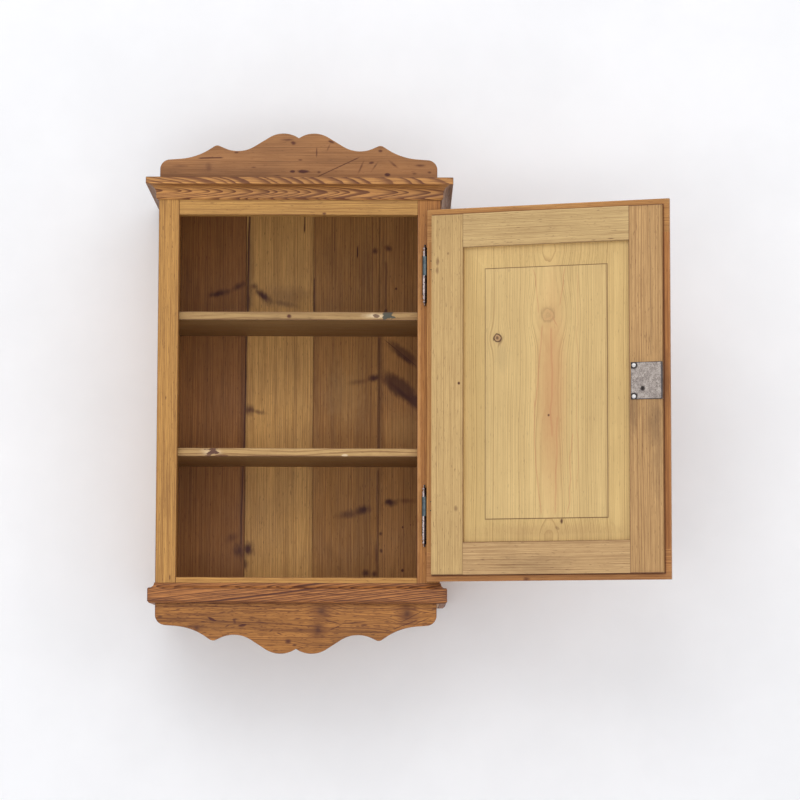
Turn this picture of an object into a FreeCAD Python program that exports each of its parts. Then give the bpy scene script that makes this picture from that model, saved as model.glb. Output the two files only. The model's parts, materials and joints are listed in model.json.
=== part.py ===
import FreeCAD, Part
import math
import os
import re
import Sketcher

# A hanging wall cabinet of solid pine with one lipped door, two shelves, a scalloped crest and apron,
# lift-off hinges and a box lock.  Millimetres.  X runs to the right, Y runs back to the wall, Z runs up.
# The origin is on the wall plane, midway between the two hanger holes.  The door stands open.

SIZES = {
    # carcass
    "carcass_width": 482.0,
    "carcass_depth": 269.0,
    "carcass_height": 726.0,
    "hanger_rise": 18.0,
    "side_thickness": 20.0,
    "board_thickness": 18.0,
    "housing_depth": 6.0,
    "shelf_thickness": 14.0,
    "shelf_setback": 2.0,
    "shelf_lower_height": 207.0,
    "shelf_upper_height": 441.5,
    "back_thickness": 12.0,
    "back_rebate": 8.0,
    "back_lap": 6.0,
    "back_seam": 0.6,
    "back_board_1_width": 125.0,
    "back_board_2_width": 121.0,
    "back_board_3_width": 118.0,
    # face frame
    "frame_thickness": 20.0,
    "stile_left_width": 35.0,
    "stile_right_width": 39.0,
    "rail_top_height": 62.0,
    "rail_bottom_height": 44.0,
    "tenon_length": 22.0,
    "tenon_thickness": 7.0,
    "tenon_shoulder": 7.0,
    # mouldings
    "cornice_height": 36.5,
    "cornice_projection": 21.5,
    "cornice_fillet": 12.0,
    "cornice_step": 2.0,
    "cornice_bead": 12.0,
    "cornice_bead_projection": 5.0,
    "base_height": 34.5,
    "base_projection": 12.0,
    "base_cavetto": 8.5,
    "base_round": 3.0,
    "base_undercut": 3.0,
    # scalloped boards
    "ornament_inset_left": 0.5,
    "ornament_inset_right": 5.5,
    "crest_height": 83.0,
    "crest_thickness": 16.0,
    "crest_setback": 10.0,
    "apron_height": 87.0,
    "block_size": 20.0,
    "block_length": 34.0,
    "block_spread": 150.0,
    # door
    "door_open_angle": 162.0,
    "frame_gap": 0.3,
    "lip_overlap": 7.0,
    "lip_thickness": 10.0,
    "lip_round": 4.0,
    "door_gap": 4.0,
    "raised_thickness": 10.0,
    "door_stile_width": 56.0,
    "door_rail_top_height": 57.5,
    "door_rail_bottom_height": 54.5,
    "lap_top_height": 56.0,
    "lap_bottom_height": 50.0,
    "groove_offset": 6.5,
    "groove_width": 6.0,
    "groove_depth": 6.0,
    "groove_clearance": 1.0,
    "panel_strip": 12.0,
    "panel_bevel": 26.0,
    "panel_bevel_rise": 3.5,
    "panel_step": 1.0,
    # hinges
    "hinge_clearance": 1.0,
    "hinge_standoff": 0.8,
    "hinge_upper_drop": 105.0,
    "hinge_lower_height": 104.0,
    "knuckle_radius": 4.5,
    "door_knuckle_length": 32.0,
    "frame_knuckle_length": 31.0,
    "knuckle_gap": 0.3,
    "hinge_pin_radius": 2.5,
    "hinge_pin_clearance": 0.05,
    "hinge_pin_seat": 28.0,
    "leaf_thickness": 2.2,
    "frame_leaf_depth": 16.0,
    "door_leaf_depth": 20.0,
    "leaf_inset": 2.0,
    "finial_length": 21.0,
    "hinge_nail_radius": 1.0,
    # lock and key
    "lock_width": 53.0,
    "lock_height": 62.0,
    "lock_position": 322.0,
    "lock_floor": 3.0,
    "lock_wall": 1.5,
    "cover_thickness": 1.5,
    "bolt_width": 25.0,
    "bolt_thickness": 4.0,
    "bolt_drop": 8.0,
    "bolt_depth": 5.0,
    "bolt_travel": 11.0,
    "bolt_clearance": 0.3,
    "talon_start": 7.0,
    "talon_width": 16.5,
    "talon_height": 5.4,
    "key_position": 20.0,
    "key_drop": 13.0,
    "key_shank_radius": 2.75,
    "key_bit_radius": 8.0,
    "key_bit_thickness": 2.5,
    "key_bit_length": 4.5,
    "key_bow_radius": 9.0,
    "key_bow_wire": 2.0,
    "key_reach": 24.0,
    "key_clearance": 0.75,
    "drill_pin_radius": 1.3,
    "drill_pin_clearance": 0.06,
    "lock_screw_radius": 1.4,
    "lock_screw_head": 3.4,
    "lock_screw_dome": 1.2,
    "lock_screw_slot": 0.9,
    "lock_screw_inset": 5.0,
    "lock_screw_length": 15.0,
    "escutcheon_width": 22.0,
    "escutcheon_height": 40.0,
    "escutcheon_thickness": 1.2,
    "mortise_depth": 9.0,
    "mortise_clearance": 1.8,
    # hangers and back nails
    "hanger_inset": 41.0,
    "hanger_thickness": 2.5,
    "hanger_base_width": 44.0,
    "hanger_base_height": 22.0,
    "hanger_neck_width": 22.0,
    "hanger_hole_radius": 3.3,
    "hanger_screw_spread": 14.0,
    "hanger_screw_radius": 1.75,
    "hanger_screw_head": 3.5,
    "hanger_screw_length": 28.0,
    "nail_radius": 1.0,
    "nail_head_radius": 2.3,
    "nail_head_height": 1.0,
    "nail_length": 32.0,
}

# Half of the scalloped outline, from its outer end to the notch in the middle: distance from the middle
# as a share of the half length, height as a share of the board's height, then the radius of the edge that
# follows as a share of the half length (None is straight) and its turn (1 bulges out, -1 is scooped).
SCALLOP = (
    (1.000, 0.000, None, 0),
    (1.000, 0.235, 0.072, 1),
    (0.929, 0.424, None, 0),
    (0.849, 0.441, 0.460, -1),
    (0.653, 0.624, None, 0),
    (0.612, 0.700, 0.040, 1),
    (0.572, 0.710, None, 0),
    (0.527, 0.653, 0.230, -1),
    (0.326, 0.694, None, 0),
    (0.209, 0.900, 0.195, 1),
    (0.000, 0.878, None, 0),
)

LEFT = "-carcass_width / 2"
RIGHT = "carcass_width / 2"
FRONT = "-carcass_depth"
FRAME_BACK = "frame_thickness - carcass_depth"
BACK_FACE = "-back_thickness"
TOP = "-hanger_rise"
BOTTOM = "-hanger_rise - carcass_height"
OPEN_LEFT = LEFT + " + stile_left_width"
OPEN_RIGHT = RIGHT + " - stile_right_width"
OPEN_TOP = TOP + " - rail_top_height"
OPEN_BOTTOM = BOTTOM + " + rail_bottom_height"
OPEN_WIDTH = "(carcass_width - stile_left_width - stile_right_width)"
BACK_EDGE = "(carcass_width / 2 - side_thickness + back_rebate)"
ORNAMENT_HALF = "(carcass_width - ornament_inset_left - ornament_inset_right) / 2"
ORNAMENT_MIDDLE = "(ornament_inset_left - ornament_inset_right) / 2"

# The hinge axis is the origin of the door's own frame: its pieces are drawn as the closed door holds them,
# with distances from the axis towards the free edge, and turned about the axis together.
# The knuckles clear the edge of the lip by hinge_clearance and the face of the frame by hinge_standoff.
HINGE_OFFSET = "(lip_overlap + knuckle_radius + hinge_clearance)"
HINGE_DEPTH = "(knuckle_radius + hinge_standoff)"
HINGE_X = OPEN_RIGHT + " + " + HINGE_OFFSET
HINGE_Y = FRONT + " - " + HINGE_DEPTH
LIP_NEAR = HINGE_OFFSET + " - lip_overlap"
LIP_FAR = HINGE_OFFSET + " + lip_overlap + " + OPEN_WIDTH
RAISED_NEAR = HINGE_OFFSET + " + door_gap"
RAISED_FAR = HINGE_OFFSET + " - door_gap + " + OPEN_WIDTH
LIP_TOP = OPEN_TOP + " + lip_overlap"
LIP_BOTTOM = OPEN_BOTTOM + " - lip_overlap"
RAISED_TOP = OPEN_TOP + " - door_gap"
RAISED_BOTTOM = OPEN_BOTTOM + " + door_gap"
LIP_INSIDE = HINGE_DEPTH + " - frame_gap"
LIP_OUTSIDE = LIP_INSIDE + " - lip_thickness"
RAISED_FACE = LIP_INSIDE + " + raised_thickness"
LOCK_NEAR = RAISED_FAR + " - lock_width"
LOCK_FLOOR = LIP_INSIDE + " + lock_floor"
LOCK_ROOM = LOCK_FLOOR + " + lock_wall"
LOCK_MIDDLE = OPEN_BOTTOM + " + lock_position"
BOLT_LOW = LOCK_MIDDLE + " - bolt_drop"
BOLT_INNER = LIP_INSIDE + " + bolt_depth"
KEY_U = LOCK_NEAR + " + key_position"
KEY_Z = LOCK_MIDDLE + " - key_drop"

PLANES = {"YZ": ("YZ_Plane", 1), "XZ": ("XZ_Plane", -1), "XY": ("XY_Plane", 1)}
TURN_TO = {
    "x": FreeCAD.Rotation(FreeCAD.Vector(0, 1, 0), 90),
    "y": FreeCAD.Rotation(FreeCAD.Vector(1, 0, 0), -90),
    "z": FreeCAD.Rotation(),
}

doc = FreeCAD.newDocument("hanging_wall_cabinet")
sheet = doc.addObject("Spreadsheet::Sheet", "sizes")
for row, (alias, value) in enumerate(SIZES.items(), start=1):
    sheet.set(f"A{row}", alias)
    sheet.set(f"B{row}", str(value))
    sheet.setAlias(f"B{row}", alias)
doc.recompute()

parts = []


# ---------------------------------------------------------------- expressions and shapes
def ref(text):
    """Point every size name in an expression at the sheet."""
    return re.sub(r"[a-z]\w*", lambda m: "sizes." + m[0] if m[0] in SIZES else m[0], text)


def number(text):
    """The present value of an expression."""
    return float(sheet.evalExpression(ref(text)))


def add(*terms):
    return " + ".join(f"({term})" for term in terms)


def less(first, *rest):
    return " - ".join([f"({first})"] + [f"({term})" for term in rest])


def place(obj, x, y, z):
    for axis, text in zip("xyz", (x, y, z)):
        obj.setExpression("Placement.Base." + axis, ref(text))


def box(name, x, y, z):
    """A box that fills three (low, high) ranges."""
    obj = doc.addObject("Part::Box", name)
    for side, (low, high) in zip(("Length", "Width", "Height"), (x, y, z)):
        obj.setExpression(side, ref(less(high, low)))
    place(obj, x[0], y[0], z[0])
    return obj


def rod(name, axis, radius, at, length, end_radius=None):
    """A cylinder, or a cone where end_radius is given, that runs from a point along +axis."""
    kind = "Part::Cylinder" if end_radius is None else "Part::Cone"
    obj = doc.addObject(kind, name)
    if end_radius is None:
        obj.setExpression("Radius", ref(radius))
    else:
        obj.setExpression("Radius1", ref(radius))
        obj.setExpression("Radius2", ref(end_radius))
    obj.setExpression("Height", ref(length))
    obj.Placement = FreeCAD.Placement(FreeCAD.Vector(), TURN_TO[axis])
    place(obj, *at)
    return obj


def ball(name, radius, at):
    obj = doc.addObject("Part::Sphere", name)
    obj.setExpression("Radius", ref(radius))
    place(obj, *at)
    return obj


def fuse(name, shapes):
    obj = doc.addObject("Part::MultiFuse", name)
    obj.Shapes = shapes
    obj.Refine = True
    return obj


def common(name, shapes):
    obj = doc.addObject("Part::MultiCommon", name)
    obj.Shapes = shapes
    obj.Refine = True
    return obj


def group(name, shapes):
    """Separate solids that share one node."""
    obj = doc.addObject("Part::Compound", name)
    obj.Links = shapes
    return obj


def cut(name, base, tools):
    obj = doc.addObject("Part::Cut", name)
    obj.Base = base
    obj.Tool = tools[0] if len(tools) == 1 else group(name + "_tools", tools)
    obj.Refine = True
    return obj


def draw(sketch, corners):
    """A closed outline.  A corner is (x, y) or (x, y, radius, turn), where the edge that follows it is an
    arc: turn 1 runs counter-clockwise and -1 clockwise.  Every corner is bound to its expressions."""
    flat = [(number(corner[0]), number(corner[1])) for corner in corners]
    edges = []
    for i, corner in enumerate(corners):
        start = FreeCAD.Vector(*flat[i], 0)
        end = FreeCAD.Vector(*flat[(i + 1) % len(flat)], 0)
        if len(corner) == 2:
            edges.append((sketch.addGeometry(Part.LineSegment(start, end)), 1, 2))
            continue
        radius, turn = number(corner[2]), corner[3]
        chord = end - start
        rise = math.sqrt(radius**2 - (chord.Length / 2) ** 2)
        across = FreeCAD.Vector(-chord.y, chord.x, 0).normalize()
        centre = start + chord * 0.5 + across * rise * turn
        first, last = (start, end) if turn > 0 else (end, start)
        angles = [math.atan2(p.y - centre.y, p.x - centre.x) for p in (first, last)]
        if angles[1] < angles[0]:
            angles[1] += 2 * math.pi
        circle = Part.Circle(centre, FreeCAD.Vector(0, 0, 1), radius)
        index = sketch.addGeometry(Part.ArcOfCircle(circle, *angles))
        edges.append((index, 1, 2) if turn > 0 else (index, 2, 1))
        bind = sketch.addConstraint(Sketcher.Constraint("Radius", index, radius))
        sketch.setExpression(f"Constraints[{bind}]", ref(corner[2]))
    for (index, _, last), (following, first, _) in zip(edges, edges[1:] + edges[:1]):
        sketch.addConstraint(Sketcher.Constraint("Coincident", index, last, following, first))
    for corner, (index, first, _), point in zip(corners, edges, flat):
        for kind, text, value in zip(("DistanceX", "DistanceY"), corner, point):
            bind = sketch.addConstraint(Sketcher.Constraint(kind, -1, 1, index, first, value))
            sketch.setExpression(f"Constraints[{bind}]", ref(text))


def slab(name, plane, corners, low, high):
    """A body padded from an outline on an origin plane, between two places along the plane's normal."""
    body = doc.addObject("PartDesign::Body", name)
    role, facing = PLANES[plane]
    support = next(f for f in body.Origin.OriginFeatures if f.Role == role)
    sketch = body.newObject("Sketcher::SketchObject", name + "_outline")
    sketch.AttachmentSupport = [(support, "")]
    sketch.MapMode = "FlatFace"
    start = low if facing > 0 else f"-({high})"
    sketch.setExpression("AttachmentOffset.Base.z", ref(start))
    draw(sketch, corners)
    pad = body.newObject("PartDesign::Pad", name + "_pad")
    pad.Profile = sketch
    pad.setExpression("Length", ref(less(high, low)))
    return body


def keep(label, obj):
    """Take a finished shape as the sub-part of this name."""
    obj.Label = label
    parts.append(obj)
    return obj


def keep_on_door(label, obj):
    """Take a shape drawn in the door's frame, and swing it with the door."""
    obj.Placement = FreeCAD.Placement(FreeCAD.Vector(), FreeCAD.Rotation(FreeCAD.Vector(0, 0, 1), 1))
    place(obj, HINGE_X, HINGE_Y, "0")
    obj.setExpression("Placement.Rotation.Angle", ref("door_open_angle"))
    return keep(label, obj)


def mirror_x(low, high):
    return f"-({high})", f"-({low})"


def door_box(name, u, y, z):
    """A box in the door's frame; u is measured from the hinge axis to the free edge."""
    return box(name, mirror_x(*u), y, z)


# ---------------------------------------------------------------- fasteners of the carcass
SHELVES = {
    "top_board": (less(TOP, "board_thickness"), TOP, FRAME_BACK),
    "shelf_upper": (
        add(OPEN_BOTTOM, "shelf_upper_height"),
        add(OPEN_BOTTOM, "shelf_upper_height", "shelf_thickness"),
        add(FRAME_BACK, "shelf_setback"),
    ),
    "shelf_lower": (
        add(OPEN_BOTTOM, "shelf_lower_height"),
        add(OPEN_BOTTOM, "shelf_lower_height", "shelf_thickness"),
        add(FRAME_BACK, "shelf_setback"),
    ),
    "bottom_board": (less(OPEN_BOTTOM, "board_thickness"), OPEN_BOTTOM, FRAME_BACK),
}


def back_edges():
    """The left and right face edge of each back board; the last board takes what is left."""
    edge, edges = f"-{BACK_EDGE}", []
    for index in (1, 2, 3):
        following = add(edge, f"back_board_{index}_width")
        edges.append((edge, following))
        edge = following
    return edges + [(edge, BACK_EDGE)]


def flush_fastener(name, radius, head_radius, head_height, length, x, z):
    """A nail or countersunk screw driven forward from the back plane, its head flush."""
    shank = rod(name + "_shank", "y", radius, (x, f"-({length})", z), length)
    head = rod(name + "_head", "y", radius, (x, f"-({head_height})", z), head_height, head_radius)
    return fuse(name, [shank, head])


def make_back_nails():
    """One nail for each board and shelf; the hangers' screws hold the outer boards to the top board."""
    nails = []
    edges = back_edges()
    for board, (left, right) in enumerate(edges, start=1):
        middle = f"(({left}) + ({right})) / 2"
        for shelf, (low, high, _) in SHELVES.items():
            if shelf == "top_board" and board in (1, len(edges)):
                continue
            height = f"(({low}) + ({high})) / 2"
            nails.append(flush_fastener(f"nail_{board}_{shelf}", "nail_radius", "nail_head_radius",
                                        "nail_head_height", "nail_length", middle, height))
    return keep("back_nails", group("nail_group", nails))


def make_hanger_screws():
    screws = []
    for side in (-1, 1):
        for way in (-1, 1):
            x = f"{side} * (carcass_width / 2 - hanger_inset) + {way} * hanger_screw_spread"
            z = less(TOP, "board_thickness / 2")
            screws.append(flush_fastener(f"hanger_screw_{side + 1}_{way + 1}", "hanger_screw_radius",
                                         "hanger_screw_head", "hanger_thickness",
                                         "hanger_screw_length", x, z))
    return keep("hanger_screws", group("hanger_screw_group", screws))


def make_hanger(label, side, screws):
    """An iron plate screwed to the back, its eye standing above the top."""
    middle = f"{side} * (carcass_width / 2 - hanger_inset)"
    neck = "hanger_neck_width / 2"
    foot = "hanger_base_width / 2"
    corners = [
        (less(middle, foot), less(TOP, "hanger_base_height")),
        (add(middle, foot), less(TOP, "hanger_base_height")),
        (add(middle, foot), TOP),
        (add(middle, neck), TOP),
        (add(middle, neck), "0", "hanger_neck_width / 2 * 1.0001", 1),
        (less(middle, neck), "0"),
        (less(middle, neck), TOP),
        (less(middle, foot), TOP),
    ]
    plate = slab(label + "_plate", "XZ", corners, "-hanger_thickness", "0")
    eye = rod(label + "_eye", "y", "hanger_hole_radius", (middle, "-2 * hanger_thickness", "0"),
              "4 * hanger_thickness")
    return keep(label, cut(label + "_drilled", plate, [eye, screws]))


# ---------------------------------------------------------------- carcass
def hanger_recess(side):
    middle = f"{side} * (carcass_width / 2 - hanger_inset)"
    foot = "hanger_base_width / 2"
    return box(f"hanger_recess_{side + 1}", (less(middle, foot), add(middle, foot)),
               ("-hanger_thickness", "0"), (less(TOP, "hanger_base_height"), TOP))


def make_side(label, side):
    """A full-height side with a rebate for the back boards and a housing for each shelf."""
    def across(near, far):
        return (near, far) if side > 0 else mirror_x(near, far)

    inside = "carcass_width / 2 - side_thickness"
    blank = box(label + "_blank", across(inside, RIGHT), (FRAME_BACK, "0"), (BOTTOM, TOP))
    rebate = box(label + "_rebate", across(inside, BACK_EDGE), (BACK_FACE, "0"), (BOTTOM, TOP))
    housings = [
        box(f"{label}_housing_{shelf}", across(inside, add(inside, "housing_depth")),
            (front, BACK_FACE), (low, high))
        for shelf, (low, high, front) in SHELVES.items()
    ]
    keep(label, cut(label + "_cut", blank, [rebate] + housings))


def make_shelves(nails, screws):
    reach = "carcass_width / 2 - side_thickness + housing_depth"
    for label, (low, high, front) in SHELVES.items():
        blank = box(label + "_blank", mirror_x(f"-({reach})", reach), (front, BACK_FACE), (low, high))
        keep(label, cut(label + "_cut", blank, [nails, screws]))


def make_back_boards(nails, screws):
    """Vertical boards with half-lapped edges in the rebates of the sides."""
    recesses = [hanger_recess(-1), hanger_recess(1)]
    edges = back_edges()
    half = "-back_thickness / 2"
    for index, (left, right) in enumerate(edges, start=1):
        label = f"back_board_{index}"
        first, last = index == 1, index == len(edges)
        face = (left if first else add(left, "back_seam"), right)
        rear = (left if first else less(add(left, "back_seam"), "back_lap"),
                right if last else less(right, "back_lap"))
        blank = fuse(label + "_blank", [
            box(label + "_face", face, (BACK_FACE, half), (BOTTOM, TOP)),
            box(label + "_rear", rear, (half, "0"), (BOTTOM, TOP)),
        ])
        keep(label, cut(label + "_cut", blank, recesses + [nails, screws]))


# ---------------------------------------------------------------- face frame
def tenon(name, edge, out, low, high):
    """A tenon on the end of a rail, centred in the frame's thickness."""
    middle = add(FRONT, "frame_thickness / 2")
    x = (edge, add(edge, "tenon_length")) if out > 0 else (less(edge, "tenon_length"), edge)
    return box(name, x, (less(middle, "tenon_thickness / 2"), add(middle, "tenon_thickness / 2")),
               (add(low, "tenon_shoulder"), less(high, "tenon_shoulder")))


def make_face_frame(leaf_cuts):
    rails = {"face_rail_top": (OPEN_TOP, TOP), "face_rail_bottom": (BOTTOM, OPEN_BOTTOM)}
    tenons = {-1: [], 1: []}
    for label, (low, high) in rails.items():
        ends = [tenon(f"{label}_tenon_{out + 1}", OPEN_LEFT if out < 0 else OPEN_RIGHT, out, low, high)
                for out in (-1, 1)]
        tenons[-1].append(ends[0])
        tenons[1].append(ends[1])
        middle = box(label + "_middle", (OPEN_LEFT, OPEN_RIGHT), (FRONT, FRAME_BACK), (low, high))
        keep(label, fuse(label + "_joined", [middle] + ends))
    strike = box("strike_mortise", (less(OPEN_LEFT, "mortise_depth"), OPEN_LEFT),
                 (add(HINGE_Y, BOLT_INNER, "-mortise_clearance"),
                  add(HINGE_Y, BOLT_INNER, "bolt_thickness", "mortise_clearance")),
                 (less(BOLT_LOW, "mortise_clearance"), add(BOLT_LOW, "bolt_width", "mortise_clearance")))
    left = box("face_stile_left_blank", (LEFT, OPEN_LEFT), (FRONT, FRAME_BACK), (BOTTOM, TOP))
    right = box("face_stile_right_blank", (OPEN_RIGHT, RIGHT), (FRONT, FRAME_BACK), (BOTTOM, TOP))
    keep("face_stile_left", cut("face_stile_left_cut", left, tenons[-1] + [strike]))
    keep("face_stile_right", cut("face_stile_right_cut", right, tenons[1] + leaf_cuts))


# ---------------------------------------------------------------- mouldings
def cornice_profile():
    """(out, up, radius, turn) from the carcass face at the top round to the carcass face below."""
    cove_width = "cornice_projection - cornice_step - cornice_bead_projection"
    cove_height = "cornice_height - cornice_fillet - cornice_bead"
    radius = f"0.76 * sqrt(({cove_width}) ^ 2 + ({cove_height}) ^ 2)"
    return [
        ("0", TOP),
        ("cornice_projection", TOP),
        ("cornice_projection", less(TOP, "cornice_fillet")),
        ("cornice_projection - cornice_step", less(TOP, "cornice_fillet"), radius, -1),
        ("cornice_bead_projection", less(TOP, "cornice_height", "-cornice_bead")),
        ("cornice_bead_projection", less(TOP, "cornice_height", "-cornice_bead / 4")),
        ("cornice_bead_projection / 2", less(TOP, "cornice_height")),
        ("0", less(TOP, "cornice_height")),
    ]


def base_profile():
    """A cavetto over a square nose with a rounded upper edge and an undercut foot."""
    shoulder = add(BOTTOM, "base_height", "-base_cavetto")
    return [
        ("0", add(BOTTOM, "base_height")),
        ("base_projection / 8", add(BOTTOM, "base_height"), "base_cavetto", -1),
        ("base_projection * 0.6", shoulder),
        ("base_projection - base_round", shoulder, "base_round", 1),
        ("base_projection", less(shoulder, "base_round")),
        ("base_projection", add(BOTTOM, "base_undercut")),
        ("base_projection - base_undercut", BOTTOM),
        ("0", BOTTOM),
    ]


def profile_corners(profile, face, way):
    """A moulding's profile against a carcass face; way is the side that it projects to."""
    corners = []
    for out, up, *arc in profile:
        bend = [arc[0], -way * arc[1]] if arc else []
        corners.append((f"({face}) + {way} * ({out})", up, *bend))
    return corners


def mitre_block(name, side, projection, beyond):
    """A block with one face on the mitre plane of a front corner: the part in front of the plane and to
    the middle of the carcass when beyond is -1, the part behind it when beyond is 1."""
    size = f"6 * ({projection})"
    block = doc.addObject("Part::Box", name)
    block.setExpression("Length", ref(size))
    block.setExpression("Width", ref(size))
    block.setExpression("Height", ref("2 * carcass_height"))
    angle = 45 if side > 0 else 135
    block.Placement = FreeCAD.Placement(FreeCAD.Vector(), FreeCAD.Rotation(FreeCAD.Vector(0, 0, 1), angle))
    normal = (math.cos(math.radians(angle)), math.sin(math.radians(angle)))
    along = (-normal[1], normal[0])
    back = 0 if beyond > 0 else -1
    shift = [back * normal[i] - 0.5 * along[i] for i in (0, 1)]
    place(block, f"{side} * carcass_width / 2 + {shift[0]} * {size}",
          f"-carcass_depth + {shift[1]} * {size}", less(BOTTOM, "carcass_height / 2"))
    return block


def make_moulding(prefix, profile, projection):
    """Front and two returns, mitred at the front corners and square at the wall."""
    for side in (-1, 1):
        label = f"{prefix}_{'left' if side < 0 else 'right'}"
        corners = profile_corners(profile, f"{side} * carcass_width / 2", side)
        blank = slab(label + "_length", "XZ", corners, f"-carcass_depth - {projection}", "0")
        keep(label, cut(label + "_mitred", blank, [mitre_block(label + "_mitre", side, projection, -1)]))
    corners = profile_corners(profile, FRONT, -1)
    half = f"(carcass_width / 2 + {projection})"
    blank = slab(prefix + "_front_length", "YZ", corners, f"-{half}", half)
    mitres = [mitre_block(f"{prefix}_front_mitre_{side + 1}", side, projection, 1) for side in (-1, 1)]
    keep(prefix + "_front", cut(prefix + "_front_mitred", blank, mitres))


# ---------------------------------------------------------------- crest and apron
def scallop_corners(base, height, way):
    """The scalloped outline on a straight base line, upwards (way 1) or downwards (way -1)."""
    def corner(side, out, up, radius, turn):
        x = f"{ORNAMENT_MIDDLE} + {side} * {out} * {ORNAMENT_HALF}"
        z = f"({base}) + {way} * {up} * {height}"
        return (x, z) if radius is None else (x, z, f"{radius} * {ORNAMENT_HALF}", way * turn)

    right = [corner(1, *row) for row in SCALLOP]
    left = []
    for (out, up, _, _), (_, _, radius, turn) in zip(reversed(SCALLOP[:-1]), list(reversed(SCALLOP[:-1]))[1:]
                                                     + [(0, 0, None, 0)]):
        left.append(corner(-1, out, up, radius, turn))
    radius, turn = SCALLOP[-2][2:]
    right[-1] = corner(1, *SCALLOP[-1][:2], radius, turn)
    return right + left


def make_scalloped_boards():
    crest_front = add(FRONT, "crest_setback")
    crest = slab("crest_shape", "XZ", scallop_corners(TOP, "crest_height", 1),
                 crest_front, add(crest_front, "crest_thickness"))
    apron = slab("apron_shape", "XZ", scallop_corners(BOTTOM, "apron_height", -1), FRONT, FRAME_BACK)
    keep("crest_board", crest)
    keep("apron_board", apron)


def make_blocks():
    """Glue blocks in the corners behind the crest and behind the apron."""
    crest_back = add(FRONT, "crest_setback", "crest_thickness")
    ceiling = less(OPEN_BOTTOM, "board_thickness")
    rows = {
        "crest_blocks": (crest_back, (TOP, add(TOP, "block_size"))),
        "apron_blocks": (FRAME_BACK, (less(BOTTOM, "block_size"), ceiling)),
    }
    for label, (front, height) in rows.items():
        blocks = []
        for step in (-1, 0, 1):
            middle = f"{ORNAMENT_MIDDLE} + {step} * block_spread"
            blocks.append(box(f"{label}_{step + 1}",
                              (less(middle, "block_length / 2"), add(middle, "block_length / 2")),
                              (front, add(front, "block_size")), height))
        keep(label, group(label + "_group", blocks))


# ---------------------------------------------------------------- hinges
HINGES = {
    "hinge_upper": less(OPEN_TOP, "hinge_upper_drop"),
    "hinge_lower": add(OPEN_BOTTOM, "hinge_lower_height"),
}


def finial(name, at, way):
    """A collar, a barrel, a ring, a ball and a point on the end of a knuckle, upwards or downwards."""
    x, y, z = at

    def rise(share):
        return add(z, f"{way} * {share} * finial_length")

    def ring(piece, radius, low, high):
        start = rise(low) if way > 0 else rise(high)
        return rod(f"{name}_{piece}", "z", radius, (x, y, start), f"{high - low:.2f} * finial_length")

    return [
        ring("collar", "knuckle_radius * 1.1", 0.00, 0.08),
        ring("barrel", "knuckle_radius * 0.8", 0.06, 0.40),
        ring("ring", "knuckle_radius", 0.38, 0.45),
        ring("neck", "knuckle_radius * 0.5", 0.43, 0.60),
        ball(name + "_ball", "knuckle_radius * 0.8", (x, y, rise(0.66))),
        ring("stem", "knuckle_radius * 0.3", 0.78, 0.94),
        ball(name + "_tip", "knuckle_radius * 0.4", (x, y, rise(0.92))),
    ]


def make_frame_leaf(label, joint):
    """The lower half: knuckle, foot finial and a leaf that runs straight back into the stile."""
    top = less(joint, "knuckle_gap / 2")
    foot = less(top, "frame_knuckle_length")
    knuckle = rod(label + "_frame_knuckle", "z", "knuckle_radius", (HINGE_X, HINGE_Y, foot),
                  "frame_knuckle_length")
    leaf = box(label + "_frame_plate",
               (less(HINGE_X, "leaf_thickness / 2"), add(HINGE_X, "leaf_thickness / 2")),
               (HINGE_Y, add(FRONT, "frame_leaf_depth")), (add(foot, "leaf_inset"), less(top, "leaf_inset")))
    blank = fuse(label + "_frame_blank", [knuckle, leaf] + finial(label + "_foot", (HINGE_X, HINGE_Y, foot), -1))
    seat = rod(label + "_pin_seat", "z", "hinge_pin_radius",
               (HINGE_X, HINGE_Y, less(joint, "hinge_pin_seat")), "2 * hinge_pin_seat")
    return leaf, cut(label + "_frame_leaf_cut", blank, [seat])


def make_hinge_pin(label, joint):
    low = less(joint, "hinge_pin_seat")
    length = less("hinge_pin_seat + knuckle_gap / 2 + door_knuckle_length", "2")
    keep(label + "_pin", rod(label + "_pin_rod", "z", "hinge_pin_radius", (HINGE_X, HINGE_Y, low), length))


def make_door_leaf(label, joint):
    """The upper half, in the door's frame: knuckle, head finial and a leaf let into the door's edge."""
    foot = add(joint, "knuckle_gap / 2")
    head = add(foot, "door_knuckle_length")
    knuckle = rod(label + "_door_knuckle", "z", "knuckle_radius", ("0", "0", foot), "door_knuckle_length")
    leaf = door_box(label + "_door_plate", ("0", add(LIP_NEAR, "door_leaf_depth")),
                    ("-leaf_thickness / 2", "leaf_thickness / 2"),
                    (add(foot, "leaf_inset"), less(head, "leaf_inset")))
    blank = fuse(label + "_door_blank", [knuckle, leaf] + finial(label + "_head", ("0", "0", head), 1))
    bore = rod(label + "_bore", "z", "hinge_pin_radius + hinge_pin_clearance", ("0", "0", less(foot, "1")),
               add("door_knuckle_length", "-0.5"))
    return leaf, cut(label + "_door_leaf_cut", blank, [bore])


def leaf_nails(name, axis, start, length, across, joint, way):
    """Two headless nails through a leaf, across the wood that holds it."""
    nails = []
    for index, share in enumerate((0.28, 0.75), start=1):
        z = add(joint, f"{way} * {share} * door_knuckle_length")
        at = (start, across, z) if axis == "x" else (across, start, z)
        nails.append(rod(f"{name}_{index}", axis, "hinge_nail_radius", at, length))
    return nails


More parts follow.
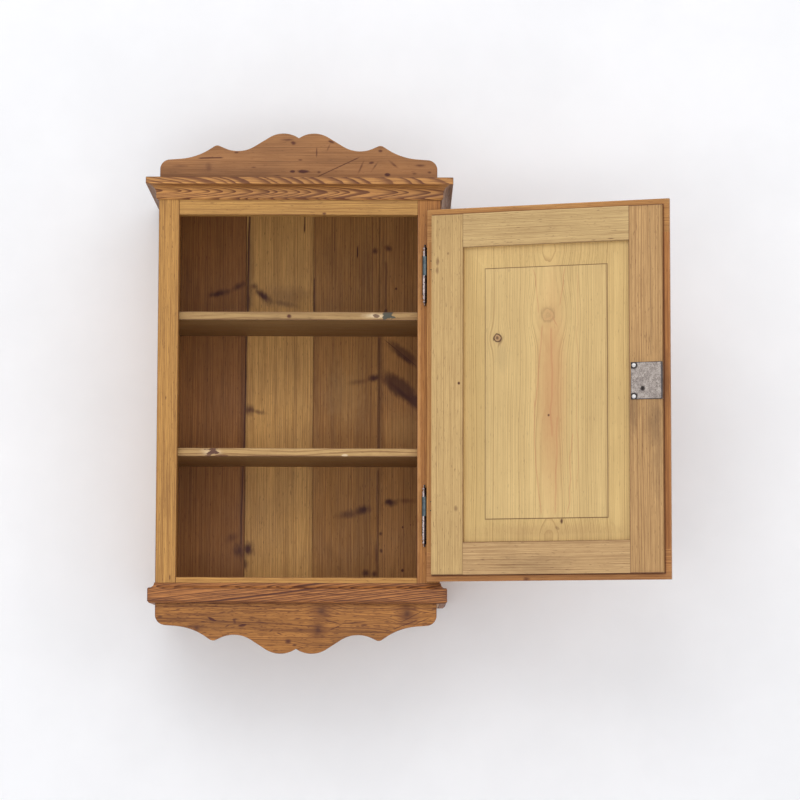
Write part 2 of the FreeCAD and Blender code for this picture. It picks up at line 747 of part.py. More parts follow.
def make_hinges():
    """Both hinges; gives back what is cut from the wood of the stile and of the door."""
    frame_nails, door_nails, frame_plates, door_plates = [], [], [], []
    leaves = {}
    for label, joint in HINGES.items():
        frame_plate, frame_leaf = make_frame_leaf(label, joint)
        door_plate, door_leaf = make_door_leaf(label, joint)
        make_hinge_pin(label, joint)
        frame_nails += leaf_nails(label + "_frame_nail", "x", OPEN_RIGHT, "2 * " + HINGE_OFFSET,
                                  add(FRONT, "frame_leaf_depth * 0.6"), joint, -1)
        door_nails += leaf_nails(label + "_door_nail", "y", LIP_OUTSIDE, "lip_thickness",
                                 f"-({add(LIP_NEAR, 'lip_overlap')})", joint, 1)
        frame_plates.append(frame_plate)
        door_plates.append(door_plate)
        leaves[label] = (frame_leaf, door_leaf)
    in_frame = keep("hinge_frame_nails", group("hinge_frame_nail_group", frame_nails))
    in_door = group("hinge_door_nail_group", door_nails)
    for label, (frame_leaf, door_leaf) in leaves.items():
        keep(label + "_frame_leaf", cut(label + "_frame_leaf_nailed", frame_leaf, [in_frame]))
        keep_on_door(label + "_door_leaf", cut(label + "_door_leaf_nailed", door_leaf, [in_door]))
    keep_on_door("hinge_door_nails", group("hinge_door_nails_shape", door_nails))
    return frame_plates + [in_frame], door_plates + [in_door]


# ---------------------------------------------------------------- door
def keyhole(name, y):
    """A round hole with a slot below it for the bit."""
    low, high = y
    x = f"-({KEY_U})"
    hole = rod(name + "_hole", "y", "key_shank_radius + key_clearance", (x, low, KEY_Z), less(high, low))
    half = "(key_bit_thickness / 2 + key_clearance)"
    slot = box(name + "_slot", (less(x, half), add(x, half)), y,
               (less(KEY_Z, "key_bit_radius", "key_clearance"), KEY_Z))
    return [hole, slot]


def make_door(hinge_cuts, lock_cuts, hole_cuts):
    lip = door_box("lip_blank", (LIP_NEAR, LIP_FAR), (LIP_OUTSIDE, LIP_INSIDE), (LIP_BOTTOM, LIP_TOP))
    doc.recompute()
    rounded = doc.addObject("Part::Fillet", "lip_rounded")
    rounded.Base = lip
    outside = min(vertex.Y for vertex in lip.Shape.Vertexes)
    rounded.Edges = [(i, number("lip_round"), number("lip_round"))
                     for i, edge in enumerate(lip.Shape.Edges, start=1)
                     if all(abs(vertex.Y - outside) < 1e-6 for vertex in edge.Vertexes)]
    raised = door_box("raised_blank", (RAISED_NEAR, RAISED_FAR), (LIP_INSIDE, RAISED_FACE),
                      (RAISED_BOTTOM, RAISED_TOP))
    blank = fuse("door_blank", [rounded, raised])

    thickness = (LIP_OUTSIDE, RAISED_FACE)
    lip_layer = (LIP_OUTSIDE, LIP_INSIDE)
    inner = {"hinge": add(RAISED_NEAR, "door_stile_width"), "lock": less(RAISED_FAR, "door_stile_width")}
    panel_top = less(RAISED_TOP, "door_rail_top_height")
    panel_bottom = add(RAISED_BOTTOM, "door_rail_bottom_height")
    lap_top = less(LIP_TOP, "lap_top_height")
    lap_bottom = add(LIP_BOTTOM, "lap_bottom_height")
    groove_low = add(LIP_OUTSIDE, "groove_offset")
    groove_high = add(groove_low, "groove_width")

    groove = door_box("panel_groove",
                      (less(inner["hinge"], "groove_depth"), add(inner["lock"], "groove_depth")),
                      (groove_low, groove_high),
                      (less(panel_bottom, "groove_depth"), add(panel_top, "groove_depth")))

    rails = {"door_rail_top": (panel_top, LIP_TOP, lap_top, LIP_TOP),
             "door_rail_bottom": (LIP_BOTTOM, panel_bottom, LIP_BOTTOM, lap_bottom)}
    laps = []
    for label, (low, high, lap_low, lap_high) in rails.items():
        middle = door_box(label + "_middle", (inner["hinge"], inner["lock"]), thickness, (low, high))
        lap = door_box(label + "_lap", (LIP_NEAR, LIP_FAR), lip_layer, (lap_low, lap_high))
        laps.append(lap)
        region = fuse(label + "_region", [middle, lap])
        keep_on_door(label, cut(label + "_cut", common(label + "_blank", [blank, region]), [groove]))

    stiles = {"door_stile_hinge": ((LIP_NEAR, inner["hinge"]), hinge_cuts),
              "door_stile_lock": ((inner["lock"], LIP_FAR), lock_cuts + hole_cuts)}
    for label, (u, cuts) in stiles.items():
        region = door_box(label + "_region", u, thickness, (LIP_BOTTOM, LIP_TOP))
        member = common(label + "_blank", [blank, region])
        keep_on_door(label, cut(label + "_cut", member, laps + [groove] + cuts))

    rim = "groove_depth - groove_clearance"
    make_panel((inner["hinge"], inner["lock"]), (panel_bottom, panel_top), rim, groove_low, groove_high)


def make_panel(u, z, rim, rear, front):
    """A floating panel, flat outside; inside a flat strip, a bevel and a raised field."""
    plate = door_box("panel_plate", (less(u[0], rim), add(u[1], rim)), (rear, front),
                     (less(z[0], rim), add(z[1], rim)))
    strip = "panel_strip"
    field = "(panel_strip + panel_bevel)"
    top = add(front, "panel_bevel_rise")
    bevel = doc.addObject("Part::Wedge", "panel_bevels")
    ranges = {
        "Xmin": f"-({less(u[1], strip)})", "Xmax": f"-({add(u[0], strip)})",
        "X2min": f"-({less(u[1], field)})", "X2max": f"-({add(u[0], field)})",
        "Zmin": add(z[0], strip), "Zmax": less(z[1], strip),
        "Z2min": add(z[0], field), "Z2max": less(z[1], field),
        "Ymin": front, "Ymax": top,
    }
    for prop, text in ranges.items():
        bevel.setExpression(prop, ref(text))
    raised = door_box("panel_field", (add(u[0], field), less(u[1], field)), (top, add(top, "panel_step")),
                      (add(z[0], field), less(z[1], field)))
    keep_on_door("door_panel", fuse("door_panel_shape", [plate, bevel, raised]))


# ---------------------------------------------------------------- lock and key
def make_lock_screws():
    screws = []
    face = add(RAISED_FACE, "cover_thickness")
    for index, way in enumerate((-1, 1), start=1):
        x = f"-({add(LOCK_NEAR, 'lock_screw_inset')})"
        z = add(LOCK_MIDDLE, f"{way} * (lock_height / 2 - lock_screw_inset)")
        shank = rod(f"lock_screw_{index}_shank", "y", "lock_screw_radius",
                    (x, less(face, "lock_screw_length"), z), "lock_screw_length")
        head = rod(f"lock_screw_{index}_head", "y", "lock_screw_radius",
                   (x, less(face, "cover_thickness"), z), "cover_thickness", "lock_screw_head")
        dome = rod(f"lock_screw_{index}_dome", "y", "lock_screw_head", (x, face, z), "lock_screw_dome",
                   "lock_screw_head * 0.55")
        slot = box(f"lock_screw_{index}_slot", (less(x, "lock_screw_head"), add(x, "lock_screw_head")),
                   (add(face, "lock_screw_dome / 4"), add(face, "2 * lock_screw_dome")),
                   (less(z, "lock_screw_slot / 2"), add(z, "lock_screw_slot / 2")))
        blank = fuse(f"lock_screw_{index}_blank", [shank, head, dome])
        screws.append(cut(f"lock_screw_{index}", blank, [slot]))
    return screws


def make_lock(screws):
    """Case, cover, drill pin, leaf spring, and the recess that they sit in."""
    u = (LOCK_NEAR, RAISED_FAR)
    z = (less(LOCK_MIDDLE, "lock_height / 2"), add(LOCK_MIDDLE, "lock_height / 2"))
    recess = door_box("lock_recess", (LOCK_NEAR, add(RAISED_FAR, "1")),
                      (LOCK_FLOOR, add(RAISED_FACE, "1")), z)
    outside = door_box("lock_outside", u, (LOCK_FLOOR, RAISED_FACE), z)
    room = door_box("lock_room", (add(u[0], "lock_wall"), less(u[1], "lock_wall")),
                    (LOCK_ROOM, add(RAISED_FACE, "1")), (add(z[0], "lock_wall"), less(z[1], "lock_wall")))
    forend = door_box("bolt_slot", (less(u[1], "2 * lock_wall"), add(u[1], "1")),
                      (less(BOLT_INNER, "bolt_clearance"), add(BOLT_INNER, "bolt_thickness + bolt_clearance")),
                      (less(BOLT_LOW, "bolt_clearance"), add(BOLT_LOW, "bolt_width + bolt_clearance")))
    floor_hole = keyhole("case_keyhole", (less(LOCK_FLOOR, "1"), add(LOCK_ROOM, "0.5")))
    keep_on_door("lock_case", cut("lock_case_cut", outside, [room, forend] + floor_hole + screws))

    plate = door_box("lock_plate", u, (RAISED_FACE, add(RAISED_FACE, "cover_thickness")), z)
    pin = rod("drill_pin_rod", "y", "drill_pin_radius", (f"-({KEY_U})", "0", KEY_Z),
              add(RAISED_FACE, "cover_thickness"))
    keep_on_door("lock_cover", cut("lock_cover_cut", plate, [pin] + screws))
    keep_on_door("lock_drill_pin", group("lock_drill_pin_shape", [pin]))
    keep_on_door("lock_screws", group("lock_screws_shape", screws))

    ceiling = less(z[1], "lock_wall")
    bolt_top = add(BOLT_LOW, "bolt_width", "bolt_clearance")
    far, near = add(u[0], "42"), add(u[0], "12")
    strip = [
        (f"-({add(far, '6')})", ceiling), (f"-({add(far, '6')})", less(ceiling, "3")),
        (f"-({far})", less(ceiling, "4")), (f"-({near})", bolt_top),
        (f"-({near})", add(bolt_top, "0.9")), (f"-({far})", less(ceiling, "2.6")), (f"-({far})", ceiling),
    ]
    spring = slab("bolt_spring_strip", "XZ", [corner for corner in reversed(strip)],
                  BOLT_INNER, add(BOLT_INNER, "bolt_thickness"))
    keep_on_door("bolt_spring", spring)
    return [recess]


def make_bolt():
    """A flat bolt with a talon notch in its lower edge, drawn fully back."""
    tail = add(LOCK_NEAR, "lock_wall", "1.5")
    bar = door_box("bolt_bar", (tail, less(RAISED_FAR, "0.2")), (BOLT_INNER, add(BOLT_INNER, "bolt_thickness")),
                   (BOLT_LOW, add(BOLT_LOW, "bolt_width")))
    talon = door_box("bolt_talon", (add(LOCK_NEAR, "talon_start"), add(LOCK_NEAR, "talon_start + talon_width")),
                     (less(BOLT_INNER, "1"), add(BOLT_INNER, "bolt_thickness + 1")),
                     (less(BOLT_LOW, "1"), add(BOLT_LOW, "talon_height")))
    keep_on_door("lock_bolt", cut("lock_bolt_cut", bar, [talon]))


def make_key():
    """A barrel key: ring bow, collar, hollow shank and a plain bit that points down."""
    x = f"-({KEY_U})"
    tip = less(RAISED_FACE, "0.5")
    bow_middle = less(LIP_OUTSIDE, "key_reach")
    shank_start = add(bow_middle, "key_bow_radius")
    shank = rod("key_shank", "y", "key_shank_radius", (x, shank_start, KEY_Z), less(tip, shank_start))
    collar = rod("key_collar", "y", "key_shank_radius * 1.5",
                 (x, less(LIP_OUTSIDE, "escutcheon_thickness + 4"), KEY_Z), "2.5")
    half = "key_bit_thickness / 2"
    bit = box("key_bit", (less(x, half), add(x, half)), (less(tip, "key_bit_length"), tip),
              (less(KEY_Z, "key_bit_radius"), KEY_Z))
    bow = doc.addObject("Part::Torus", "key_bow")
    bow.setExpression("Radius1", ref("key_bow_radius"))
    bow.setExpression("Radius2", ref("key_bow_wire"))
    bow.Placement = FreeCAD.Placement(FreeCAD.Vector(), TURN_TO["x"])
    place(bow, x, bow_middle, KEY_Z)
    barrel = rod("key_barrel", "y", "drill_pin_radius + drill_pin_clearance", (x, "-1", KEY_Z),
                 add(RAISED_FACE, "1"))
    keep_on_door("key", cut("key_cut", fuse("key_blank", [shank, collar, bit, bow]), [barrel]))


def make_escutcheon():
    """An oval plate round the keyhole on the outside of the door, held by two pins."""
    x = f"-({KEY_U})"
    middle = less(KEY_Z, "key_bit_radius / 2")
    half_width, half_height = "escutcheon_width / 2", "escutcheon_height / 2"
    corners = [
        (add(x, half_width), middle, "escutcheon_height * 0.59", 1),
        (x, add(middle, half_height), "escutcheon_height * 0.59", 1),
        (less(x, half_width), middle, "escutcheon_height * 0.59", 1),
        (x, less(middle, half_height), "escutcheon_height * 0.59", 1),
    ]
    outer = less(LIP_OUTSIDE, "escutcheon_thickness")
    plate = slab("escutcheon_plate", "XZ", corners, outer, LIP_OUTSIDE)
    hole = keyhole("escutcheon_keyhole", (less(outer, "1"), add(LIP_OUTSIDE, "1")))
    pins = [rod(f"escutcheon_pin_{way + 1}", "y", "hinge_nail_radius",
                (x, less(outer, "0.5"), add(middle, f"{way} * escutcheon_height * 0.4")), "8")
            for way in (-1, 1)]
    keep_on_door("escutcheon", cut("escutcheon_cut", plate, hole + pins))
    keep_on_door("escutcheon_pins", group("escutcheon_pins_shape", pins))
    return pins


# ---------------------------------------------------------------- the whole cabinet
def check(obj):
    """Stop if a sub-part is missing, failed or not a sound solid."""
    shape = obj.Shape
    if "Invalid" in obj.State or "Error" in obj.State:
        raise RuntimeError(f"{obj.Label} failed")
    if shape.isNull() or not shape.isValid() or not shape.Solids:
        raise RuntimeError(f"{obj.Label} has no sound solid")


back_nails = make_back_nails()
hanger_screws = make_hanger_screws()
make_side("side_left", -1)
make_side("side_right", 1)
make_shelves(back_nails, hanger_screws)
make_back_boards(back_nails, hanger_screws)
make_hanger("hanger_left", -1, hanger_screws)
make_hanger("hanger_right", 1, hanger_screws)

stile_cuts, door_edge_cuts = make_hinges()
make_face_frame(stile_cuts)
make_moulding("cornice", cornice_profile(), "cornice_projection")
make_moulding("base_moulding", base_profile(), "base_projection")
make_scalloped_boards()
make_blocks()

lock_screw_shapes = make_lock_screws()
lock_recess = make_lock(lock_screw_shapes)
escutcheon_pin_shapes = make_escutcheon()
door_keyhole = keyhole("door_keyhole", (less(LIP_OUTSIDE, "1"), add(LOCK_FLOOR, "0.5")))
make_door(door_edge_cuts, lock_recess + lock_screw_shapes, door_keyhole + escutcheon_pin_shapes)
make_bolt()
make_key()

doc.recompute()
for obj in doc.Objects:
    if "Invalid" in obj.State or "Error" in obj.State:
        raise RuntimeError(f"{obj.Name} failed: {obj.State}")
os.makedirs("parts", exist_ok=True)
for part in parts:
    check(part)
    part.Shape.exportStep(f"parts/{part.Label}.step")
print(len(parts), "sub-parts written")
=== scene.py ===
import json
import math
from types import SimpleNamespace

import bpy
from mathutils import Matrix, Vector


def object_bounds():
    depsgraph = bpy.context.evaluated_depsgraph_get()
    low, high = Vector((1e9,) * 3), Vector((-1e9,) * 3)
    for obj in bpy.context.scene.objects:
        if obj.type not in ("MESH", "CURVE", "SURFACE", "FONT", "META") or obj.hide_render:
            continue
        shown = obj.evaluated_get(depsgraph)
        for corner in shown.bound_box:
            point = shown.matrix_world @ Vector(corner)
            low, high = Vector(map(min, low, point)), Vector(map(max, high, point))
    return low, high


# A hanging wall cabinet of old waxed pine.  Metres, X to the right, Y back to the wall, Z up.
# Every CAD node stays as it is and gets its own board of solid wood or its own metal.

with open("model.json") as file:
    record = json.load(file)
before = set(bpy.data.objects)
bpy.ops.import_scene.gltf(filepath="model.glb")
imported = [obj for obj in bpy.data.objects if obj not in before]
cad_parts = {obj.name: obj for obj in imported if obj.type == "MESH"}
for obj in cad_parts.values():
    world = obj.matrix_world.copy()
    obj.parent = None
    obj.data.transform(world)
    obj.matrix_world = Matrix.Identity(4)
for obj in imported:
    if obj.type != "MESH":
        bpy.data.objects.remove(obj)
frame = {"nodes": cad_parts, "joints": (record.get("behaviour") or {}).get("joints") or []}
cad_low, cad_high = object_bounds()

MM = 0.001
LINE_TAPER = 8 * MM


def hinge_axis():
    """The foot of the door's hinge axis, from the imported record."""
    for joint in frame["joints"]:
        if joint["name"] == "door_hinge":
            return Vector(joint["pos_m"])
    raise SystemExit("the record has no joint door_hinge")


DOOR_AXIS = hinge_axis()
DOOR_OPEN = math.radians(162)


def srgb(red, green, blue):
    """A colour as it looks on a screen, 0 to 255, in the linear values that nodes take."""
    def linear(value):
        value /= 255
        return value / 12.92 if value <= 0.04045 else ((value + 0.055) / 1.055) ** 2.4
    return (linear(red), linear(green), linear(blue), 1)


class Graph:
    """A node material whose nodes are made by calls that read like formulas."""

    def __init__(self, name):
        self.material = bpy.data.materials.new(name)
        self.material.use_nodes = True
        self.tree = self.material.node_tree
        self.tree.nodes.clear()
        self.shader = self.node("ShaderNodeBsdfPrincipled")
        output = self.node("ShaderNodeOutputMaterial")
        self.tree.links.new(self.shader.outputs["BSDF"], output.inputs["Surface"])
        self.coordinates = self.node("ShaderNodeTexCoord")

    def node(self, kind, **settings):
        made = self.tree.nodes.new(kind)
        for key, value in settings.items():
            setattr(made, key, value)
        return made

    def feed(self, socket, value):
        if isinstance(value, bpy.types.NodeSocket):
            self.tree.links.new(value, socket)
        else:
            socket.default_value = value

    def math(self, operation, *values):
        made = self.node("ShaderNodeMath", operation=operation)
        for socket, value in zip(made.inputs, values):
            self.feed(socket, value)
        return made.outputs[0]

    def add(self, a, b):
        return self.math("ADD", a, b)

    def less(self, a, b):
        return self.math("SUBTRACT", a, b)

    def times(self, a, b):
        return self.math("MULTIPLY", a, b)

    def both(self, a, b):
        """The larger of two masks."""
        return self.math("MAXIMUM", a, b)

    def ramp(self, value, start, end, low=0.0, high=1.0, smooth=True):
        """low up to start, high from end on, and a soft step between."""
        made = self.node("ShaderNodeMapRange", interpolation_type="SMOOTHSTEP" if smooth else "LINEAR")
        for socket, given in zip(made.inputs, (value, start, end, low, high)):
            self.feed(socket, given)
        return made.outputs[0]

    def join(self, x, y, z):
        made = self.node("ShaderNodeCombineXYZ")
        for socket, value in zip(made.inputs, (x, y, z)):
            self.feed(socket, value)
        return made.outputs[0]

    def split(self, vector):
        made = self.node("ShaderNodeSeparateXYZ")
        self.feed(made.inputs[0], vector)
        return made.outputs

    def mix(self, factor, a, b, blend="MIX"):
        made = self.node("ShaderNodeMix", data_type="RGBA", blend_type=blend)
        self.feed(made.inputs["Factor"], factor)
        for socket, value in zip([s for s in made.inputs if s.type == "RGBA"], (a, b)):
            self.feed(socket, value)
        return [s for s in made.outputs if s.type == "RGBA"][0]

    def noise(self, vector, scale=1.0, detail=2.0, roughness=0.5, distortion=0.0):
        made = self.node("ShaderNodeTexNoise")
        self.feed(made.inputs["Vector"], vector)
        made.inputs["Scale"].default_value = scale
        made.inputs["Detail"].default_value = detail
        made.inputs["Roughness"].default_value = roughness
        made.inputs["Distortion"].default_value = distortion
        return made.outputs[0]

    def noise_line(self, value, scale=1.0, detail=0.0):
        """Noise along one number."""
        made = self.node("ShaderNodeTexNoise", noise_dimensions="1D")
        self.feed(made.inputs["W"], value)
        made.inputs["Scale"].default_value = scale
        made.inputs["Detail"].default_value = detail
        return made.outputs[0]

    def swing(self, noise, reach):
        """Noise as a shift either side of nothing."""
        return self.times(self.less(noise, 0.5), reach)

    def past(self, value, low, high):
        """How far a number lies past a range, and below 0 inside it."""
        offset = self.math("ABSOLUTE", self.less(value, (low + high) / 2))
        return self.less(offset, (high - low) / 2)

    def bump(self, height, distance, strength):
        made = self.node("ShaderNodeBump")
        made.inputs["Strength"].default_value = strength
        made.inputs["Distance"].default_value = distance
        self.feed(made.inputs["Height"], height)
        self.feed(self.shader.inputs["Normal"], made.outputs[0])

    def place(self, door):
        """Object coordinates, or for a piece of the door the same point with the door shut and its
        hinge axis at the origin, where x is 0 at the axis and grows towards the lock."""
        if not door:
            return self.coordinates.outputs["Object"]
        made = self.node("ShaderNodeMapping", vector_type="TEXTURE")
        self.feed(made.inputs["Vector"], self.coordinates.outputs["Object"])
        made.inputs["Location"].default_value = (DOOR_AXIS.x, DOOR_AXIS.y, 0)
        made.inputs["Rotation"].default_value = (0, 0, DOOR_OPEN)
        x, y, z = self.split(made.outputs[0])
        return self.join(self.times(x, -1), y, z)


# What a board is like unless its own settings say otherwise.  Lengths are in millimetres.
PLAIN_BOARD = dict(
    pair=None,  # earlywood and latewood, where they aren't worked out from mean and spread
    spread=0.45,  # how far earlywood and latewood stand apart
    door=False,  # whether the board belongs to the door
    seed=0,  # picks another piece of the noise, so that no two boards are alike
    lean=(0.0, 0.0),  # the pith line's slope, which makes the arches of a flat-sawn board
    wobble=6.0,  # how far the rings wander
    curl=0.0,  # small waves in the rings
    sharp=0.5,  # where in each ring the latewood begins
    even=0.3,  # the palest ring's latewood, as a share of the darkest one's
    tone=0.2,  # broad changes between light and dark
    streak=0.35,  # strength of fibres, veins and flecks
    fleck_share=0.34,
    joint=0.7,  # strength of the dark line along the board's edges
    grime=0.3,  # strength of the wide darkening beside them, painted shade as well as dirt
    skin=None,  # the stain of the door's outside
    skin_at=4.9,  # how far back from the hinge axis that stain reaches
    field=None,  # the raised field of a panel
    knots=(),
    washes=(),
    lines=(),
    marks=(),
)
SEED_STEPS = (1.7, 0.9, 0.4)
KNOT_HEART = srgb(120, 70, 40)
KNOT_RIM = srgb(70, 32, 16)
# a smear's colour, also used for the painted shadow round a panel's raised field
SMEAR_AND_SHADE = srgb(84, 38, 18)
# dark dirt, also used for the painted shadow on the door's lip
DIRT_AND_SHADE = srgb(72, 24, 12)
BEVEL_STAIN = srgb(248, 243, 230)
OUTSIDE_STAIN = srgb(244, 210, 174)


def tones(mean, spread):
    """Earlywood and latewood either side of a board's mean colour."""
    r, g, b = mean
    early = srgb(min(r * (1 + 0.28 * spread), 255), g * (1 + 0.32 * spread), b * (1 + 0.36 * spread))
    late = srgb(r * (1 - 0.62 * spread), g * (1 - 0.82 * spread), b * (1 - 0.98 * spread))
    return early, late


class Board(Graph):
    """The wood of one board, cut from its own tree, then stained, marked and worn.

    axes names the coordinates along the grain, across it and through the board.  pith is the pith
    line's place across and through, and ring the rings' spacing.  Knots, washes, lines and marks have
    their places as (along, across)."""

    def __init__(self, name, box, axes, pith, ring, mean, **given):
        super().__init__(name)
        self.own = own = SimpleNamespace(**{**PLAIN_BOARD, **given})
        self.box = box
        self.pith = pith
        self.ring = ring
        self.early, self.late = own.pair or tones(mean, own.spread)
        self.xyz = self.split(self.place(own.door))
        self.grain = [self.xyz["xyz".index(axis)] for axis in axes]
        self.shifted = [self.add(value, own.seed * step) for value, step in zip(self.grain, SEED_STEPS)]
        self.fibre = self.grained(30, 800, 3, 0.65)
        self.vein = self.grained(5, 330, 2, 0.6)
        self.cloud = self.grained(7, 12, 3, 0.6)
        self.torn = self.grained(70, 170, 3)
        self.colour = self.early
        self.dents = 0.0

    def grained(self, scale_along, scale_across, detail=2, roughness=0.5):
        """Noise drawn out along the grain."""
        along, across, depth = self.shifted
        stretched = self.join(self.times(along, scale_along), self.times(across, scale_across),
                              self.times(depth, scale_across))
        return self.noise(stretched, 1.0, detail, roughness)

    def paint(self, mask, colour):
        self.colour = self.mix(mask, self.colour, colour)

    def spot(self, mark, ragged=True, grow=(1.0, 1.0)):
        """Distance from a mark's middle, 1 at its rim.  tilt turns the mark from along towards across,
        and deep is its middle and reach through the board."""
        along, across, depth = self.grain
        (a0, b0), (la, lb) = mark["at"], mark["size"]
        da, db = self.less(along, a0 * MM), self.less(across, b0 * MM)
        if mark.get("tilt"):
            c, s = math.cos(math.radians(mark["tilt"])), math.sin(math.radians(mark["tilt"]))
            da, db = (self.add(self.times(da, c), self.times(db, s)),
                      self.less(self.times(db, c), self.times(da, s)))
        da = self.times(da, 1 / (la * grow[0] * MM))
        db = self.times(db, 1 / (lb * grow[1] * MM))
        squares = self.add(self.times(da, da), self.times(db, db))
        if mark.get("deep"):
            middle, reach = mark["deep"]
            dc = self.times(self.less(depth, middle * MM), 1 / (reach * MM))
            squares = self.add(squares, self.times(dc, dc))
        distance = self.math("SQRT", squares)
        if not ragged:
            return distance
        return self.add(distance, self.swing(self.torn, mark.get("rough", 0.9)))

    def pull(self, knot):
        """How far the grain near a knot is drawn towards it, so that lines part and close round it."""
        distance = self.spot(knot, ragged=False, grow=(3.2, 2.6))
        strength = self.math("POWER", 2.718, self.times(self.times(distance, distance), -1))
        offset = self.less(self.grain[1], knot["at"][1] * MM)
        return self.times(self.times(offset, strength), knot.get("pull", 0.75))

    def thread(self, line):
        """Mask of a thin wandering line between two ends."""
        along, across, _ = self.grain
        (a0, b0), (a1, b1) = line["ends"]
        share = self.ramp(along, a0 * MM, a1 * MM, 0.0, 1.0, smooth=False)
        sway = self.noise_line(self.add(along, b0 * 0.013), line.get("bends", 14), 2)
        centre = self.add(self.times(share, (b1 - b0) * MM), b0 * MM)
        centre = self.add(centre, self.swing(sway, line.get("sway", 1.0) * 2 * MM))
        offset = self.math("ABSOLUTE", self.less(across, centre))
        distance = self.math("DIVIDE", offset, self.times(self.add(self.torn, 0.5), line["width"] / 2 * MM))
        beyond = self.past(along, min(a0, a1) * MM, max(a0, a1) * MM)
        fade = self.ramp(beyond, -LINE_TAPER, 0.0, line.get("strength", 0.8), 0.0)
        return self.times(self.ramp(distance, line.get("core", 0.3), 1.0, 1.0, 0.0), fade)

    def grow_rings(self):
        """Growth rings about the pith line, parted round the knots."""
        own, ring = self.own, self.ring
        along, across, depth = self.grain
        bent = across
        for knot in own.knots:
            bent = self.less(bent, self.pull(knot))
        b = self.add(self.less(bent, self.pith[0] * MM), self.times(along, own.lean[0]))
        b = self.add(b, self.swing(self.grained(2.1, 7, 2), own.wobble * 2 * MM))
        c = self.add(self.less(depth, self.pith[1] * MM), self.times(along, own.lean[1]))
        c = self.add(c, self.swing(self.grained(3.3, 4, 1), own.wobble * 2 * MM))
        radius = self.math("SQRT", self.add(self.times(b, b), self.times(c, c)))
        radius = self.add(radius, self.swing(self.grained(14, 90, 2), ring * 0.5 * MM))
        if own.curl:
            radius = self.add(radius, self.swing(self.grained(60, 110, 1), own.curl * MM))
        turns = self.math("DIVIDE", radius, ring * MM)
        turns = self.add(turns, self.times(self.noise_line(turns, 0.31, 2), 2.6))
        share = self.math("FRACT", turns)
        latewood = self.times(self.ramp(share, own.sharp, 0.92), self.ramp(share, 0.94, 1.0, 1.0, 0.0))
        year = self.noise_line(self.math("FLOOR", turns), 0.73)
        self.latewood = self.times(latewood, self.ramp(year, 0.2, 0.75, own.even, 1.0))
        self.paint(self.latewood, self.late)

    def streak(self):
        """Fibres, veins, flecks and the board's own broad changes of tone."""
        own = self.own
        fleck = self.grained(90, 560, 1)
        self.paint(self.ramp(self.fibre, 0.38, 0.68, 0.0, own.streak), self.late)
        self.paint(self.ramp(self.vein, 0.48, 0.7, 0.0, own.streak * 1.3), self.late)
        self.paint(self.ramp(fleck, 1 - own.fleck_share, 1.1 - own.fleck_share, 0.0, own.streak), DIRT_AND_SHADE)
        band = self.grained(1.4, 38, 3, 0.65)
        light = self.add(self.swing(band, own.tone * 2.2), self.swing(self.cloud, own.tone * 1.6))
        light = self.add(light, 1.0)
        shade = self.join(light, self.math("POWER", light, 1.15), self.math("POWER", light, 1.35))
        self.colour = self.mix(1.0, self.colour, shade, "MULTIPLY")

    def raise_field(self):
        """A panel's raised field: paler than the bevel round it, with a shadow line between them."""
        along, across, depth = self.grain
        (low_a, high_a), (low_b, high_b) = self.own.field
        beyond = self.both(self.past(along, low_a, high_a), self.past(across, low_b, high_b))
        inner_face = self.ramp(depth, self.own.skin_at * MM, (self.own.skin_at + 1) * MM)
        bevel = self.ramp(beyond, -0.5 * MM, 2 * MM, 0.0, 0.55)
        self.paint(self.times(bevel, inner_face), self.mix(1.0, self.colour, BEVEL_STAIN, "MULTIPLY"))
        # painted shadow: a dark line along the step between the raised field and the bevel
        shadow = self.ramp(self.math("ABSOLUTE", beyond), 0.3 * MM, 1.3 * MM, 0.62, 0.0)
        self.paint(self.times(shadow, inner_face), SMEAR_AND_SHADE)

    def add_wash(self, wash):
        mask = self.ramp(self.spot(wash), 0.1, 1.0, wash.get("strength", 0.5), 0.0)
        self.paint(mask, wash.get("colour", SMEAR_AND_SHADE))

    def add_knot(self, knot):
        distance = self.spot(knot)
        inner = self.ramp(self.noise_line(distance, 5.0, 1), 0.35, 0.65)
        heart = self.mix(inner, knot.get("heart", KNOT_HEART), KNOT_RIM)
        self.paint(self.ramp(distance, 0.8, 2.6, knot.get("halo", 0.45), 0.0), self.late)
        self.paint(self.ramp(distance, knot.get("core", 0.8), 1.15, knot.get("strength", 0.9), 0.0), heart)
        rim = self.ramp(distance, 1.0, 1.35, knot.get("rim", 0.9), 0.0)
        self.paint(self.times(self.ramp(distance, 0.7, 0.95), rim), KNOT_RIM)

    def add_line(self, line):
        mask = self.thread(line)
        self.paint(mask, line.get("colour", DIRT_AND_SHADE))
        self.dents = self.add(self.dents, self.times(mask, line.get("dent", 0.0)))

    def add_mark(self, mark):
        mask = self.ramp(self.spot(mark), mark.get("core", 0.3), 1.05, mark.get("strength", 0.8), 0.0)
        self.paint(mask, mark.get("colour", SMEAR_AND_SHADE))
        if mark.get("dent"):
            self.dents = self.add(self.dents, mask)

    def stain_outside(self):
        """The door's outside and its lips, stained and waxed darker than its inside, with a painted shadow on
        the lip beside the raised part.
        """
        skin, skin_at = self.own.skin, self.own.skin_at
        edge = self.add(self.grain[2], self.swing(self.cloud, 0.8 * MM))
        streaks = self.both(self.ramp(self.vein, 0.42, 0.62, 0.0, 0.55),
                            self.ramp(self.fibre, 0.45, 0.7, 0.0, 0.5))
        stained = self.mix(1.0, self.mix(streaks, self.colour, self.late), skin, "MULTIPLY")
        self.paint(self.ramp(edge, skin_at * MM, (skin_at + 1) * MM, 1.0, 0.0), stained)
        x, _, z = self.xyz
        (low_u, high_u), (low_z, high_z) = DOOR_RAISED
        beyond = self.both(self.past(x, low_u, high_u), self.past(z, low_z, high_z))
        # painted shadow: the lip darkened within a few millimetres of the raised part, as if cast by it
        corner = self.ramp(beyond, 0.8 * MM, 3.6 * MM, 0.8, 0.0)
        self.paint(self.times(self.ramp(beyond, 0.0, 0.1 * MM), corner), DIRT_AND_SHADE)

